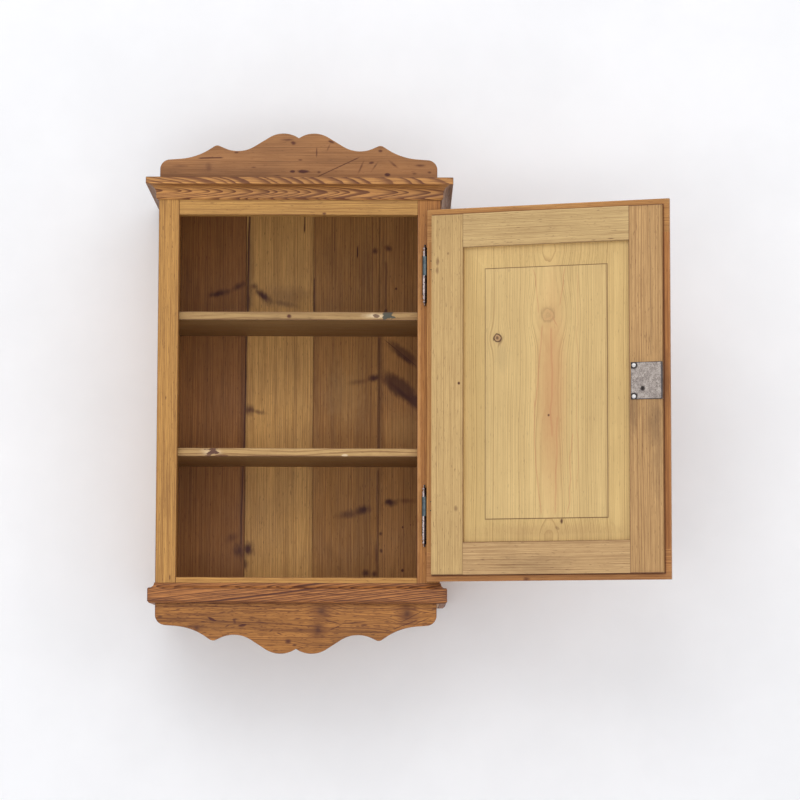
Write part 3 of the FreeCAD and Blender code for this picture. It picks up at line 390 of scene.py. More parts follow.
    def darken_edges(self):
        """Dark joints and worn arrises, by the distance to the board's own edges, and beside them a wide
        darkening that is painted shade as well as dirt.
        """
        p, q, r = [self.past(value, low, high) for value, low, high in zip(self.xyz, *self.box)]
        largest = self.both(self.both(p, q), r)
        smallest = self.math("MINIMUM", self.math("MINIMUM", p, q), r)
        inward = self.less(self.add(largest, smallest), self.add(self.add(p, q), r))
        inward = self.add(inward, self.swing(self.torn, 1.0 * MM))
        self.paint(self.ramp(inward, 0.1 * MM, 1.3 * MM, self.own.joint, 0.0), DIRT_AND_SHADE)
        # painted shade, partly dirt: latewood colour over a band 10 mm wide inside every edge of the board
        self.paint(self.ramp(inward, 0.0, 10 * MM, self.own.grime * 0.6, 0.0), self.late)

    def surface(self):
        """Colour, the sheen of old wax, and the relief of grain and dents."""
        self.feed(self.shader.inputs["Base Color"], self.colour)
        rough = self.add(self.ramp(self.fibre, 0.3, 0.7, 0.45, 0.6), self.swing(self.cloud, 0.3))
        self.feed(self.shader.inputs["Roughness"], rough)
        self.shader.inputs["Specular IOR Level"].default_value = 0.35
        height = self.add(self.times(self.latewood, 0.5), self.times(self.vein, 0.5))
        height = self.less(self.add(height, self.times(self.fibre, 0.35)), self.times(self.dents, 2.5))
        self.bump(height, 0.22 * MM, 0.7)


def wood(name, box, settings):
    """The finished material of one board; what is painted later lies on top."""
    board = Board(name, box, **settings)
    board.grow_rings()
    board.streak()
    if board.own.field:
        board.raise_field()
    for wash in board.own.washes:
        board.add_wash(wash)
    for knot in board.own.knots:
        board.add_knot(knot)
    for line in board.own.lines:
        board.add_line(line)
    for mark in board.own.marks:
        board.add_mark(mark)
    if board.own.skin:
        board.stain_outside()
    board.darken_edges()
    board.surface()
    return board.material


def door_points(points):
    """Points on the door, with the door shut, x from the hinge axis towards the lock."""
    turn = Matrix.Rotation(-DOOR_OPEN, 3, "Z")
    foot = Vector((DOOR_AXIS.x, DOOR_AXIS.y, 0))
    turned = [turn @ (Vector(p) - foot) for p in points]
    return [Vector((-p.x, p.y, p.z)) for p in turned]


def board_box(node, door=False):
    """A node's corners in the coordinates its wood uses."""
    points = [vertex.co for vertex in frame["nodes"][node].data.vertices]
    if door:
        points = door_points(points)
    low = [min(p[i] for p in points) for i in range(3)]
    high = [max(p[i] for p in points) for i in range(3)]
    return low, high


# from the edge of the panel's opening to its raised field, and from the door's edge to its raised part
FIELD_INSET = 38 * MM
LIP_INSET = 11 * MM


def raised_field():
    """The panel's raised field, (low, high) up the door and then across it: the opening between
    stiles and rails, less the strip and the bevel."""
    low_z = board_box("door_rail_bottom", True)[1][2] + FIELD_INSET
    high_z = board_box("door_rail_top", True)[0][2] - FIELD_INSET
    low_u = board_box("door_stile_hinge", True)[1][0] + FIELD_INSET
    high_u = board_box("door_stile_lock", True)[0][0] - FIELD_INSET
    return (low_z, high_z), (low_u, high_u)


def door_raised():
    """The raised part of the door's inside, (low, high) across the door and then up it."""
    boards = ("door_stile_hinge", "door_stile_lock", "door_rail_top", "door_rail_bottom")
    boxes = [board_box(node, True) for node in boards]
    ranges = [(min(box[0][i] for box in boxes), max(box[1][i] for box in boxes)) for i in (0, 2)]
    return [(low + LIP_INSET, high - LIP_INSET) for low, high in ranges]


DOOR_RAISED = door_raised()
PANEL_SKIN = board_box("door_panel", True)[0][1] / MM + 1.5  # just behind the panel's outer face
PATCH = srgb(60, 66, 60)
PALE_CHIP = srgb(232, 208, 170)
# dark dirt, also laid as painted shade under the shelves
SHELF_DIRT_AND_SHADE = srgb(96, 66, 44)
PINK_LINE = srgb(184, 122, 82)
PALE_BACK = srgb(214, 172, 106)

# the dark joint between the first two back boards, a length for each compartment
SEAM_UPPER = dict(ends=((-34, -99), (-240, -101)), width=5.5, sway=1.2, strength=0.92, core=0.1)
SEAM_MIDDLE = dict(ends=((-250, -102), (-486, -106)), width=5.0, sway=1.0, strength=0.85, core=0.1)
SEAM_LOWER = dict(ends=((-486, -107), (-636, -110)), width=4.5, sway=1.2, strength=0.85, core=0.1)
SEAMS = [SEAM_UPPER, SEAM_MIDDLE, SEAM_LOWER]
# painted light: a paler band across the front of the back boards, just above the lower shelf, where light
# bounces up from it
PAINTED_BOUNCE_LIGHT = dict(at=(-472, 0), size=(15, 2000), deep=(-12, 8), colour=PALE_BACK, strength=0.38,
                  rough=0.2)

# what boards of one kind share
BACK = dict(axes="zxy", spread=0.34, ring=2.6, sharp=0.45, streak=0.45, tone=0.3, wobble=5, joint=0.3,
            grime=0.1)
SIDE = dict(axes="zyx", spread=0.42, ring=3.0, mean=(176, 128, 74), tone=0.2)
SHELF = dict(axes="xzy", spread=0.35, ring=3.0, tone=0.25)
FRAME = dict(spread=0.4, ring=2.4, tone=0.22, streak=0.45)
MOULD = dict(ring=2.0, mean=(150, 100, 55), sharp=0.25, even=0.8, wobble=4, streak=0.4, tone=0.25, joint=0.75)
INNER = dict(spread=0.26, ring=2.2, tone=0.2, streak=0.4, door=True, skin=OUTSIDE_STAIN, joint=0.85)
CORNICE = dict(MOULD, pair=(srgb(200, 142, 78), srgb(96, 50, 26)), ring=1.75)
BASE = dict(MOULD, pair=(srgb(188, 122, 62), srgb(78, 34, 18)), ring=2.7, streak=0.5)

BOARDS = {
    "side_left": dict(SIDE, pith=(-900, 0), seed=1),
    "side_right": dict(SIDE, pith=(-120, 190), ring=4.5, seed=2, lean=(0, 0.04),
                       knots=[dict(at=(-300, -170), size=(9, 8)), dict(at=(-560, -70), size=(7, 6))]),
    "top_board": dict(SHELF, mean=(150, 108, 66), pith=(40, -130), seed=3),
    "bottom_board": dict(SHELF, mean=(168, 122, 72), pith=(-760, -130), seed=4),
    "shelf_upper": dict(SHELF, mean=(166, 132, 84), pith=(-190, -500), seed=5,
        # painted shade: a dark band along the shelf's lower edge and underside
        washes=[dict(at=(0, -259.5), size=(900, 4.5), colour=SHELF_DIRT_AND_SHADE, strength=0.5, rough=0),
                dict(at=(133, -251), size=(34, 7), deep=(-247, 9), colour=PALE_CHIP, strength=0.8)],
        marks=[dict(at=(-18, -252), size=(5.5, 4.2), deep=(-247, 9), core=0.45, strength=0.95, colour=SMEAR_AND_SHADE),
               dict(at=(-18, -252), size=(2.6, 2.2), deep=(-247, 9), core=0.3, strength=0.9, colour=DIRT_AND_SHADE),
               dict(at=(151, -250.5), size=(11, 9), deep=(-247, 10), colour=PATCH, core=0.8, rough=3.4,
                    strength=0.97, dent=True),
               dict(at=(132, -251), size=(6, 4.5), deep=(-247, 9), colour=DIRT_AND_SHADE, core=0.7, rough=3.0,
                    dent=True)],
        lines=[dict(ends=((-200, -247), (120, -246.5)), width=1.4, strength=0.3, sway=0.8,
                    colour=SHELF_DIRT_AND_SHADE)]),
    "shelf_lower": dict(SHELF, mean=(180, 144, 92), pith=(-560, -500), seed=6,
        # painted shade: a dark band along the shelf's lower edge and underside
        washes=[dict(at=(0, -494), size=(900, 4.5), colour=SHELF_DIRT_AND_SHADE, strength=0.6, rough=0),
                dict(at=(-150, -486), size=(26, 8), deep=(-247, 9), colour=PALE_CHIP, strength=0.6)],
        marks=[dict(at=(-148, -486), size=(10, 8), deep=(-247, 10), rough=3.2, core=0.75, dent=True,
                    colour=srgb(84, 46, 36), strength=0.97),
               dict(at=(-133, -492), size=(18, 2.2), deep=(-247, 9), rough=1.5, core=0.5, colour=SMEAR_AND_SHADE),
               dict(at=(79, -491), size=(6, 3), deep=(-247, 9), colour=PALE_CHIP, core=0.6)]),
    "back_board_1": dict(BACK, mean=(152, 101, 50), pith=(-520, 40), seed=7,
        washes=[dict(at=(-380, -108), size=(420, 8), strength=0.35, rough=0.4), PAINTED_BOUNCE_LIGHT],
        lines=SEAMS,
        marks=[dict(at=(-181, -152), size=(9, 30), tilt=-12, core=0.0, strength=0.9),
               dict(at=(-183, -156), size=(5, 14), tilt=-8, core=0.1, strength=0.8, colour=DIRT_AND_SHADE),
               dict(at=(-168, -116), size=(9, 20), tilt=-30, core=0.0, strength=0.9),
               dict(at=(-390, -222), size=(22, 1.5), core=0.2, strength=0.6),
               dict(at=(-642, -113), size=(19, 15), core=0.0, strength=0.95),
               dict(at=(-620, -126), size=(11, 17), tilt=-30, core=0.0, strength=0.6)]),
    "back_board_2": dict(BACK, mean=(204, 157, 90), pith=(-560, 60), seed=8, spread=0.3,
        washes=[dict(at=(-130, -99), size=(120, 14), strength=0.55, rough=0.4),
                dict(at=(-400, -104), size=(420, 7), strength=0.4, rough=0.4), PAINTED_BOUNCE_LIGHT,
                dict(at=(-186, -30), size=(26, 62), strength=0.3)],
        lines=SEAMS + [dict(ends=((-36, 1), (-74, 0)), width=3.2, strength=0.95, sway=0.4, dent=1.0)],
        marks=[dict(at=(-187, -72), size=(11, 27), tilt=48, core=0.0, strength=0.97),
               dict(at=(-184, -76), size=(6, 14), tilt=40, core=0.1, strength=0.8, colour=DIRT_AND_SHADE),
               dict(at=(-168, -90), size=(10, 10), core=0.0, strength=0.75),
               dict(at=(-200, -36), size=(8, 40), tilt=12, core=0.0, strength=0.5),
               dict(at=(-195, -98), size=(34, 7), core=0.0, strength=0.75),
               dict(at=(-391, -97), size=(13, 14), core=0.0, strength=0.9),
               dict(at=(-395, -80), size=(6, 20), tilt=10, core=0.0, strength=0.65),
               dict(at=(-640, -97), size=(19, 15), tilt=20, core=0.1, strength=0.97),
               dict(at=(-640, -97), size=(9, 8), tilt=20, core=0.1, strength=0.8, colour=DIRT_AND_SHADE),
               dict(at=(-668, -102), size=(15, 8), core=0.0, strength=0.75)]),
    "back_board_3": dict(BACK, mean=(170, 121, 62), pith=(-460, 60), seed=9,
        washes=[dict(at=(-330, 22), size=(200, 10), strength=0.22), PAINTED_BOUNCE_LIGHT,
                dict(at=(-360, 75), size=(90, 50), colour=PALE_BACK, strength=0.22, rough=1.2),
                dict(at=(-130, 110), size=(90, 26), strength=0.25),
                dict(at=(-120, 50), size=(70, 22), strength=0.2)],
        lines=[dict(ends=((-150, 17.5), (-218, 18)), width=3.4, strength=0.92, sway=0.4),
               dict(ends=((-92, 96), (-120, 95)), width=3.6, strength=0.95, sway=0.5, dent=1.0),
               dict(ends=((-255, 134), (-480, 134)), width=6, strength=0.55, sway=1.0, colour=SMEAR_AND_SHADE),
               dict(ends=((-494, 133), (-700, 134)), width=6, strength=0.5, sway=1.5, colour=SMEAR_AND_SHADE),
               dict(ends=((-40, 55), (-110, 54)), width=2.0, strength=0.6, sway=1.0)],
        marks=[dict(at=(-104, 127), size=(8, 9), tilt=-30, core=0.0, strength=0.85),
               dict(at=(-333, 126), size=(10, 14), core=0.1, strength=0.95),
               dict(at=(-333, 128), size=(5, 7), core=0.1, strength=0.8, colour=DIRT_AND_SHADE),
               dict(at=(-340, 100), size=(7, 30), tilt=-10, core=0.0, strength=0.5),
               dict(at=(-569, 108), size=(11, 19), tilt=-12, core=0.1, strength=0.97),
               dict(at=(-568, 110), size=(5, 10), tilt=-12, core=0.1, strength=0.8, colour=DIRT_AND_SHADE),
               dict(at=(-577, 82), size=(11, 32), tilt=-8, core=0.0, strength=0.7),
               dict(at=(-682, 113), size=(9, 10), core=0.1, strength=0.95),
               dict(at=(-684, 128), size=(8, 7), core=0.1, strength=0.9),
               dict(at=(-650, 131), size=(34, 4), core=0.0, strength=0.7)]),
    "back_board_4": dict(BACK, mean=(180, 129, 70), pith=(-400, 60), seed=10,
        washes=[dict(at=(-380, 138), size=(300, 7), strength=0.4), PAINTED_BOUNCE_LIGHT,
                dict(at=(-430, 180), size=(50, 60), colour=PALE_BACK, strength=0.25)],
        lines=[dict(ends=((-255, 136), (-480, 136)), width=5, strength=0.5, sway=1.0, colour=SMEAR_AND_SHADE),
               dict(ends=((-120, 146), (-232, 147)), width=7, strength=0.45, sway=2.0, colour=SMEAR_AND_SHADE),
               dict(ends=((-262, 142), (-315, 206)), width=2.6, strength=0.85, sway=1.2)],
        marks=[dict(at=(-289, 178), size=(13, 44), tilt=38, core=0.35, strength=0.75, rough=0.5),
               dict(at=(-300, 184), size=(5, 30), tilt=38, core=0.0, strength=0.6, colour=DIRT_AND_SHADE, rough=0.5),
               dict(at=(-350, 172), size=(20, 46), tilt=38, core=0.5, strength=0.85, rough=0.5),
               dict(at=(-362, 178), size=(6, 42), tilt=42, core=0.0, strength=0.8, colour=DIRT_AND_SHADE, rough=0.5),
               dict(at=(-376, 200), size=(15, 24), tilt=40, core=0.3, strength=0.85, rough=0.6),
               dict(at=(-99, 151), size=(8, 10), tilt=30, core=0.0, strength=0.9),
               dict(at=(-172, 165), size=(3, 2.6), strength=0.95, colour=DIRT_AND_SHADE),
               dict(at=(-213, 147), size=(6, 4), strength=0.8), dict(at=(-219, 128), size=(4, 12), core=0.0),
               dict(at=(-556, 156), size=(10, 17), core=0.1, strength=0.97),
               dict(at=(-555, 154), size=(5, 9), core=0.1, strength=0.8, colour=DIRT_AND_SHADE),
               dict(at=(-553, 184), size=(7, 28), core=0.0, strength=0.5),
               dict(at=(-600, 178), size=(2.6, 2), strength=0.9), dict(at=(-596, 192), size=(2, 1.8)),
               dict(at=(-642, 140), size=(5, 4), strength=0.8),
               dict(at=(-612, 139), size=(5, 4), strength=0.8),
               dict(at=(-677, 178), size=(3.6, 3.2), strength=0.95)]),
    "face_stile_left": dict(FRAME, axes="zxy", mean=(180, 132, 68), pith=(-500, -200), seed=11,
        marks=[dict(at=(-395, -226), size=(5, 1.6)), dict(at=(-700, -216), size=(7, 1.6))]),
    "face_stile_right": dict(FRAME, axes="zxy", mean=(166, 110, 52), pith=(-300, -200), seed=12,
        washes=[dict(at=(-390, 203), size=(420, 6.5), colour=srgb(206, 150, 88), strength=0.85)]),
    "face_rail_top": dict(FRAME, axes="xzy", mean=(182, 136, 72), pith=(400, -200), seed=13, curl=0.6,
        marks=[dict(at=(42, -78), size=(5, 3), strength=0.95), dict(at=(-150, -60), size=(5, 1))]),
    "face_rail_bottom": dict(FRAME, axes="xzy", mean=(184, 134, 68), pith=(-1200, -200), seed=14),
    "cornice_front": dict(CORNICE, axes="xzy", pith=(-34, -240), seed=15, lean=(0.0, -0.066)),
    "cornice_left": dict(MOULD, axes="yzx", mean=(140, 108, 84), spread=0.4, pith=(-20, -200), seed=16),
    "cornice_right": dict(MOULD, axes="yzx", mean=(140, 108, 84), spread=0.4, pith=(-20, 200), seed=17),
    "base_moulding_front": dict(BASE, axes="xzy", pith=(-803, -211), seed=18, lean=(-0.04, 0.1)),
    "base_moulding_left": dict(BASE, axes="yzx", pith=(-700, -200), seed=19),
    "base_moulding_right": dict(BASE, axes="yzx", pith=(-700, 200), seed=20),
    "crest_board": dict(axes="xzy", mean=(152, 104, 61), pith=(120, -225), ring=2.2, seed=21, spread=0.24,
        wobble=5, tone=0.45, streak=0.4,
        lines=[dict(ends=((26, -14), (104, 23)), width=2.4, strength=0.85, sway=0.6, dent=1.0),
               dict(ends=((-178, 19.5), (-130, 20.5)), width=3.2, strength=0.9, sway=0.5),
               dict(ends=((-30, 25), (190, 23)), width=1.2, strength=0.45, sway=0.6, colour=SMEAR_AND_SHADE),
               dict(ends=((-60, 34), (20, 34)), width=1.0, strength=0.4, sway=0.6, colour=SMEAR_AND_SHADE)],
        marks=[dict(at=(5, -3), size=(13, 4), core=0.5, colour=DIRT_AND_SHADE, strength=0.97),
               dict(at=(-13, -3), size=(5.5, 3), core=0.5, colour=DIRT_AND_SHADE, strength=0.95),
               dict(at=(150, -8), size=(6, 4), core=0.5, colour=DIRT_AND_SHADE, strength=0.97),
               dict(at=(-157, 4), size=(8, 12), core=0.0, strength=0.5),
               dict(at=(-12, 46), size=(6, 4.5), tilt=-20, strength=0.95),
               dict(at=(-22, 52), size=(16, 3), core=0.0),
               dict(at=(53, 49), size=(7, 3), tilt=-20, core=0.4, strength=0.95),
               dict(at=(48, 38), size=(2, 12), tilt=-24, core=0.0, strength=0.5),
               dict(at=(138, 33), size=(5, 3), strength=0.9), dict(at=(-110, 30), size=(5, 2.4)),
               dict(at=(122, 12), size=(6, 2.6), tilt=10, strength=0.9),
               dict(at=(28, 30), size=(2, 11), strength=0.75), dict(at=(32, -4), size=(5, 3), strength=0.8),
               dict(at=(104, 4), size=(2.4, 16), tilt=-24, core=0.0, strength=0.7),
               dict(at=(128, 6), size=(2.4, 14), tilt=-36, core=0.0, strength=0.7),
               dict(at=(160, 10), size=(14, 3), tilt=-40, core=0.0, strength=0.65),
               dict(at=(196, -6), size=(6, 3), core=0.0, strength=0.8), dict(at=(222, -4), size=(5, 3)),
               dict(at=(206, 8), size=(14, 3), core=0.0), dict(at=(-80, 4), size=(7, 1.6), core=0.0),
               dict(at=(-40, -10), size=(9, 1.6), core=0.0), dict(at=(0, 17), size=(5, 2), core=0.2),
               dict(at=(-206, 6), size=(16, 3), core=0.0, strength=0.5)]),
    "crest_blocks": dict(SHELF, mean=(170, 126, 76), pith=(30, -200), seed=22),
    "apron_board": dict(axes="xzy", mean=(156, 102, 46), pith=(-700, -215), ring=2.4, seed=23, spread=0.5,
        lean=(0.03, 0.03), wobble=8, tone=0.5, streak=0.6, fleck_share=0.42,
        knots=[dict(at=(41, -757), size=(11, 9), strength=0.7, rim=0.0, core=0.0, halo=0.6, heart=SMEAR_AND_SHADE),
               dict(at=(35, -788), size=(8, 10), strength=0.85, rim=0.0, core=0.0, halo=0.6, heart=SMEAR_AND_SHADE),
               dict(at=(186, -761), size=(10, 11), strength=0.75, rim=0.0, core=0.0, halo=0.6, heart=SMEAR_AND_SHADE),
               dict(at=(-170, -786), size=(7, 5), strength=0.85, rim=0.0, core=0.0, heart=SMEAR_AND_SHADE)],
        marks=[dict(at=(-144, -771), size=(9, 2.6), tilt=-25, core=0.5, colour=DIRT_AND_SHADE, strength=0.95),
               dict(at=(-92, -781), size=(10, 3), tilt=8, core=0.4, colour=DIRT_AND_SHADE, strength=0.95),
               dict(at=(-106, -774), size=(3, 7), tilt=20, core=0.2), dict(at=(-232, -767), size=(6, 2.4)),
               dict(at=(-118, -782), size=(6, 1.6), tilt=30), dict(at=(-128, -760), size=(8, 1.4), tilt=10),
               dict(at=(-15, -808), size=(8, 6), tilt=20, core=0.1, strength=0.95),
               dict(at=(-4, -814), size=(5, 3)), dict(at=(112, -781), size=(8, 2), tilt=8),
               dict(at=(-30, -795), size=(7, 2), tilt=-20), dict(at=(-44, -790), size=(5, 1.6), tilt=30),
               dict(at=(-60, -776), size=(10, 1.4), tilt=-6), dict(at=(0, -770), size=(9, 1.4), tilt=6),
               dict(at=(172, -790), size=(10, 3), tilt=20, core=0.1)],
        lines=[dict(ends=((44, -772), (72, -778)), width=2.6, strength=0.85, sway=1.2),
               dict(ends=((52, -790), (76, -780)), width=2.6, strength=0.8, sway=1.2),
               dict(ends=((72, -778), (120, -774)), width=1.8, strength=0.7, sway=1.2),
               dict(ends=((160, -788), (206, -770)), width=3.0, strength=0.75, sway=1.6),
               dict(ends=((172, -776), (214, -756)), width=2.6, strength=0.65, sway=1.6),
               dict(ends=((196, -780), (226, -766)), width=2.6, strength=0.65, sway=1.6)]),
    "apron_blocks": dict(SHELF, mean=(170, 126, 76), pith=(-790, -200), seed=24),
    "door_stile_hinge": dict(INNER, axes="zxy", mean=(188, 155, 102), pith=(400, -60), seed=25,
        marks=[dict(at=(-373, 65), size=(3, 2.6), colour=DIRT_AND_SHADE, strength=0.97),
               dict(at=(-585, 60), size=(7, 4), strength=0.5), dict(at=(-163, 27), size=(9, 4),
                    strength=0.5), dict(at=(-180, 27), size=(8, 4), strength=0.45),
               dict(at=(-151, 46), size=(3, 2.4), strength=0.45)]),
    "door_stile_lock": dict(INNER, axes="zxy", mean=(178, 139, 90), pith=(700, -60), seed=26, spread=0.32,
        ring=2.6, streak=0.4,
        washes=[dict(at=(-425, 366), size=(70, 14), strength=0.5, colour=SHELF_DIRT_AND_SHADE),
                dict(at=(-440, 400), size=(60, 24), strength=0.35, colour=SHELF_DIRT_AND_SHADE),
                dict(at=(-480, 408), size=(160, 14), strength=0.3, colour=SHELF_DIRT_AND_SHADE),
                dict(at=(-378, 420), size=(70, 14), strength=0.5)],
        lines=[dict(ends=((-90, 397), (-340, 398)), width=2.2, strength=0.4, sway=1.5, colour=SHELF_DIRT_AND_SHADE)]),
    "door_rail_top": dict(INNER, axes="xzy", mean=(190, 159, 108), pith=(300, -60), seed=27, curl=1.6,
        marks=[dict(at=(330, -138), size=(8, 1.2)), dict(at=(300, -139), size=(5, 1))]),
    "door_rail_bottom": dict(INNER, axes="xzy", mean=(182, 147, 101), pith=(-1100, -60), seed=28,
        spread=0.32, washes=[dict(at=(200, -680), size=(90, 26), strength=0.25, colour=SHELF_DIRT_AND_SHADE)],
        marks=[dict(at=(180, -705), size=(9, 5), deep=(0, 9), core=0.3, colour=DIRT_AND_SHADE, strength=0.97)]),
    "door_panel": dict(axes="zxy", mean=(201, 170, 114), pith=(222, -34), ring=2.7, seed=29, spread=0.17,
        tone=0.17, streak=0.22, wobble=9, door=True, joint=0.3, grime=0.2, field=raised_field(),
        skin=OUTSIDE_STAIN, skin_at=PANEL_SKIN,
        washes=[dict(at=(-390, 226), size=(270, 36), colour=srgb(190, 140, 92), strength=0.7, rough=0.3),
                # painted shade: the panel's bottom bevel darker across its whole width
                dict(at=(-624, 222), size=(19, 190), colour=srgb(170, 132, 86), strength=0.35, rough=0.3),
                dict(at=(-330, 140), size=(40, 20), colour=srgb(176, 150, 104), strength=0.35)],
        knots=[dict(at=(-298, 132), size=(6.5, 6.5), heart=srgb(196, 154, 108), halo=0.25, core=0.6),
               dict(at=(-262, 220), size=(12, 11), strength=0.2, heart=srgb(190, 132, 90), halo=0.15,
                    pull=0.9, rim=0.12)],
        lines=[dict(ends=((-180, 196), (-262, 205)), width=3.0, strength=0.4, sway=5, colour=PINK_LINE),
               dict(ends=((-180, 252), (-250, 238)), width=3.0, strength=0.4, sway=5, colour=PINK_LINE),
               dict(ends=((-276, 212), (-420, 196)), width=3.6, strength=0.4, sway=7, bends=9,
                    colour=PINK_LINE),
               dict(ends=((-280, 226), (-470, 228)), width=4.4, strength=0.42, sway=7, bends=9,
                    colour=PINK_LINE),
               dict(ends=((-400, 196), (-600, 205)), width=3.2, strength=0.4, sway=5, bends=7,
                    colour=PINK_LINE),
               dict(ends=((-430, 236), (-600, 232)), width=4.0, strength=0.4, sway=7, bends=8,
                    colour=PINK_LINE),
               dict(ends=((-460, 262), (-600, 255)), width=2.6, strength=0.45, sway=5, colour=PINK_LINE),
               dict(ends=((-190, 272), (-560, 270)), width=2.0, strength=0.3, sway=5, colour=PINK_LINE),
               dict(ends=((-262, 226), (-285, 238)), width=3.0, strength=0.5, sway=1, colour=PINK_LINE)],
        marks=[dict(at=(-431, 221), size=(2.6, 2.6), colour=DIRT_AND_SHADE, strength=0.85),
               dict(at=(-609, 243), size=(6, 3), colour=DIRT_AND_SHADE, strength=0.9),
               dict(at=(-620, 235), size=(3, 5), tilt=30, strength=0.35),
               dict(at=(-304, 138), size=(16, 3), tilt=30, core=0.0, strength=0.4),
               dict(at=(-140, 329), size=(3, 5), core=0.2, strength=0.8)]),
}


def metal(name, dark, pale, *, rough=0.45, size=90, worn=None, metallic=0.85):
    """Old ironwork or brass: mottled oxide over bare metal."""
    g = Graph(name)
    place = g.place(False)
    cloud = g.noise(place, size, 4, 0.65)
    grainy = g.noise(place, size * 9, 3, 0.6)
    scratched = g.noise(place, size * 3, 2, 0.5, 1.5)
    blend = g.ramp(g.add(g.times(cloud, 0.75), g.times(grainy, 0.25)), 0.38, 0.62)
    colour = g.mix(blend, dark, pale)
    if worn:
        colour = g.mix(g.ramp(scratched, 0.6, 0.72, 0.0, 0.7), colour, worn)
    g.feed(g.shader.inputs["Base Color"], colour)
    g.feed(g.shader.inputs["Roughness"], g.ramp(grainy, 0.3, 0.7, rough - 0.1, rough + 0.15))
    g.shader.inputs["Metallic"].default_value = metallic
    g.bump(g.add(g.times(grainy, 0.4), g.times(cloud, 0.4)), 0.2 * MM, 0.6)
    return g.material


def knuckle_iron(node, knuckle):
    """Blackened iron with a painted highlight, a pale band down its left side that passes for metal worn
    bright where the halves turn; knuckle is the height of the plain blue-grey part above the joint, and 0
    where the whole piece carries the painted highlight."""
    g = Graph(f"iron_{node}")
    place = g.place(False)
    x, _, z = g.split(place)
    grainy = g.noise(place, 900, 3, 0.6)
    cloud = g.noise(place, 160, 3, 0.6)
    side = g.less(x, DOOR_AXIS.x)
    side = g.add(side, g.swing(cloud, 0.8 * MM))
    # painted highlight: a pale band about 2 mm left of the axis, broken up by noise
    highlight_band = g.ramp(g.math("ABSOLUTE", g.add(side, 2.1 * MM)), 0.9 * MM, 1.7 * MM, 1.0, 0.0)
    highlight_band = g.times(highlight_band, g.ramp(g.noise(place, 420, 2), 0.36, 0.5, 0.25, 1.0))
    colour = g.mix(g.ramp(cloud, 0.35, 0.65), srgb(30, 18, 18), srgb(58, 46, 46))
    colour = g.mix(highlight_band, colour, srgb(226, 206, 200))
    if knuckle:
        foot = board_box(node)[0][2]
        plain = g.ramp(z, foot + knuckle, foot + knuckle + 1 * MM, 1.0, 0.0)
        grey = g.mix(g.ramp(cloud, 0.3, 0.7), srgb(78, 90, 96), srgb(106, 116, 118))
        # painted shade: the plain knuckle darker along its right side and, more faintly, its left
        grey = g.mix(g.ramp(side, 2.6 * MM, 3.6 * MM), grey, srgb(40, 34, 38))
        grey = g.mix(g.ramp(side, -4.2 * MM, -3.4 * MM, 1.0, 0.0), grey, srgb(66, 66, 68))
        colour = g.mix(plain, colour, grey)
    g.feed(g.shader.inputs["Base Color"], colour)
    g.feed(g.shader.inputs["Roughness"], g.ramp(grainy, 0.3, 0.7, 0.3, 0.55))
    g.shader.inputs["Metallic"].default_value = 0.8
    g.bump(g.add(g.times(grainy, 0.4), g.times(cloud, 0.5)), 0.25 * MM, 0.6)
    return g.material


def lock_plate():
    """The lock's cover: pale pitted steel, with painted shade along its edges and round its screws and pin.
    """
    g = Graph("lock_steel_cover")
    place = g.place(True)
    x, _, z = g.split(place)
    cloud = g.noise(place, 130, 4, 0.65)
    pits = g.noise(place, 620, 3, 0.65)
    scratched = g.noise(g.join(g.times(x, 2.2), 0.0, g.times(z, 1.0)), 260, 3, 0.6, 1.2)
    colour = g.mix(g.ramp(cloud, 0.36, 0.64), srgb(150, 140, 134), srgb(184, 174, 166))
    colour = g.mix(g.ramp(pits, 0.48, 0.66, 0.0, 0.75), colour, srgb(100, 86, 80))
    colour = g.mix(g.ramp(scratched, 0.58, 0.7, 0.0, 0.5), colour, srgb(96, 84, 80))
    low, high = board_box("lock_cover", True)
    screws = board_box("lock_screws", True)
    pin = board_box("lock_drill_pin", True)
    head_radius = 3.4 * MM
    screws_u = (screws[0][0] + screws[1][0]) / 2
    pin_u, pin_z = (pin[0][0] + pin[1][0]) / 2, (pin[0][2] + pin[1][2]) / 2
    # painted shade round each screw head and the pin: its middle, then where the shade starts and ends, in
    # millimetres
    rings = [(screws_u, screws[0][2] + head_radius, 3.0, 7.4),
             (screws_u, screws[1][2] - head_radius, 3.0, 7.4),
             (pin_u, pin_z, 0.9, 4.8)]
    for u, height, inner, outer in rings:
        du, dz = g.less(x, u), g.less(z, height)
        away = g.math("SQRT", g.add(g.times(du, du), g.times(dz, dz)))
        away = g.add(away, g.swing(cloud, 1.6 * MM))
        rim = g.ramp(away, (outer - 2) * MM, outer * MM, 0.9, 0.0)
        ring = g.times(g.ramp(away, (inner - 0.4) * MM, inner * MM), rim)
        colour = g.mix(ring, colour, srgb(40, 32, 32))
    # painted shade, a dark border along each edge of the plate: the distance in from it, and the border's
    # width in millimetres
    edges = [(g.less(high[0], x), 2.6), (g.less(z, low[2]), 1.8),
             (g.less(x, low[0]), 1.2), (g.less(high[2], z), 1.4)]
    for edge, width in edges:
        colour = g.mix(g.ramp(edge, width * 0.45 * MM, width * MM, 0.85, 0.0), colour, srgb(52, 48, 56))
    g.feed(g.shader.inputs["Base Color"], colour)
    g.feed(g.shader.inputs["Roughness"], g.ramp(pits, 0.3, 0.7, 0.4, 0.6))
    g.shader.inputs["Metallic"].default_value = 0.7
    g.bump(g.add(g.times(pits, 0.5), g.times(scratched, 0.4)), 0.2 * MM, 0.6)
    return g.material


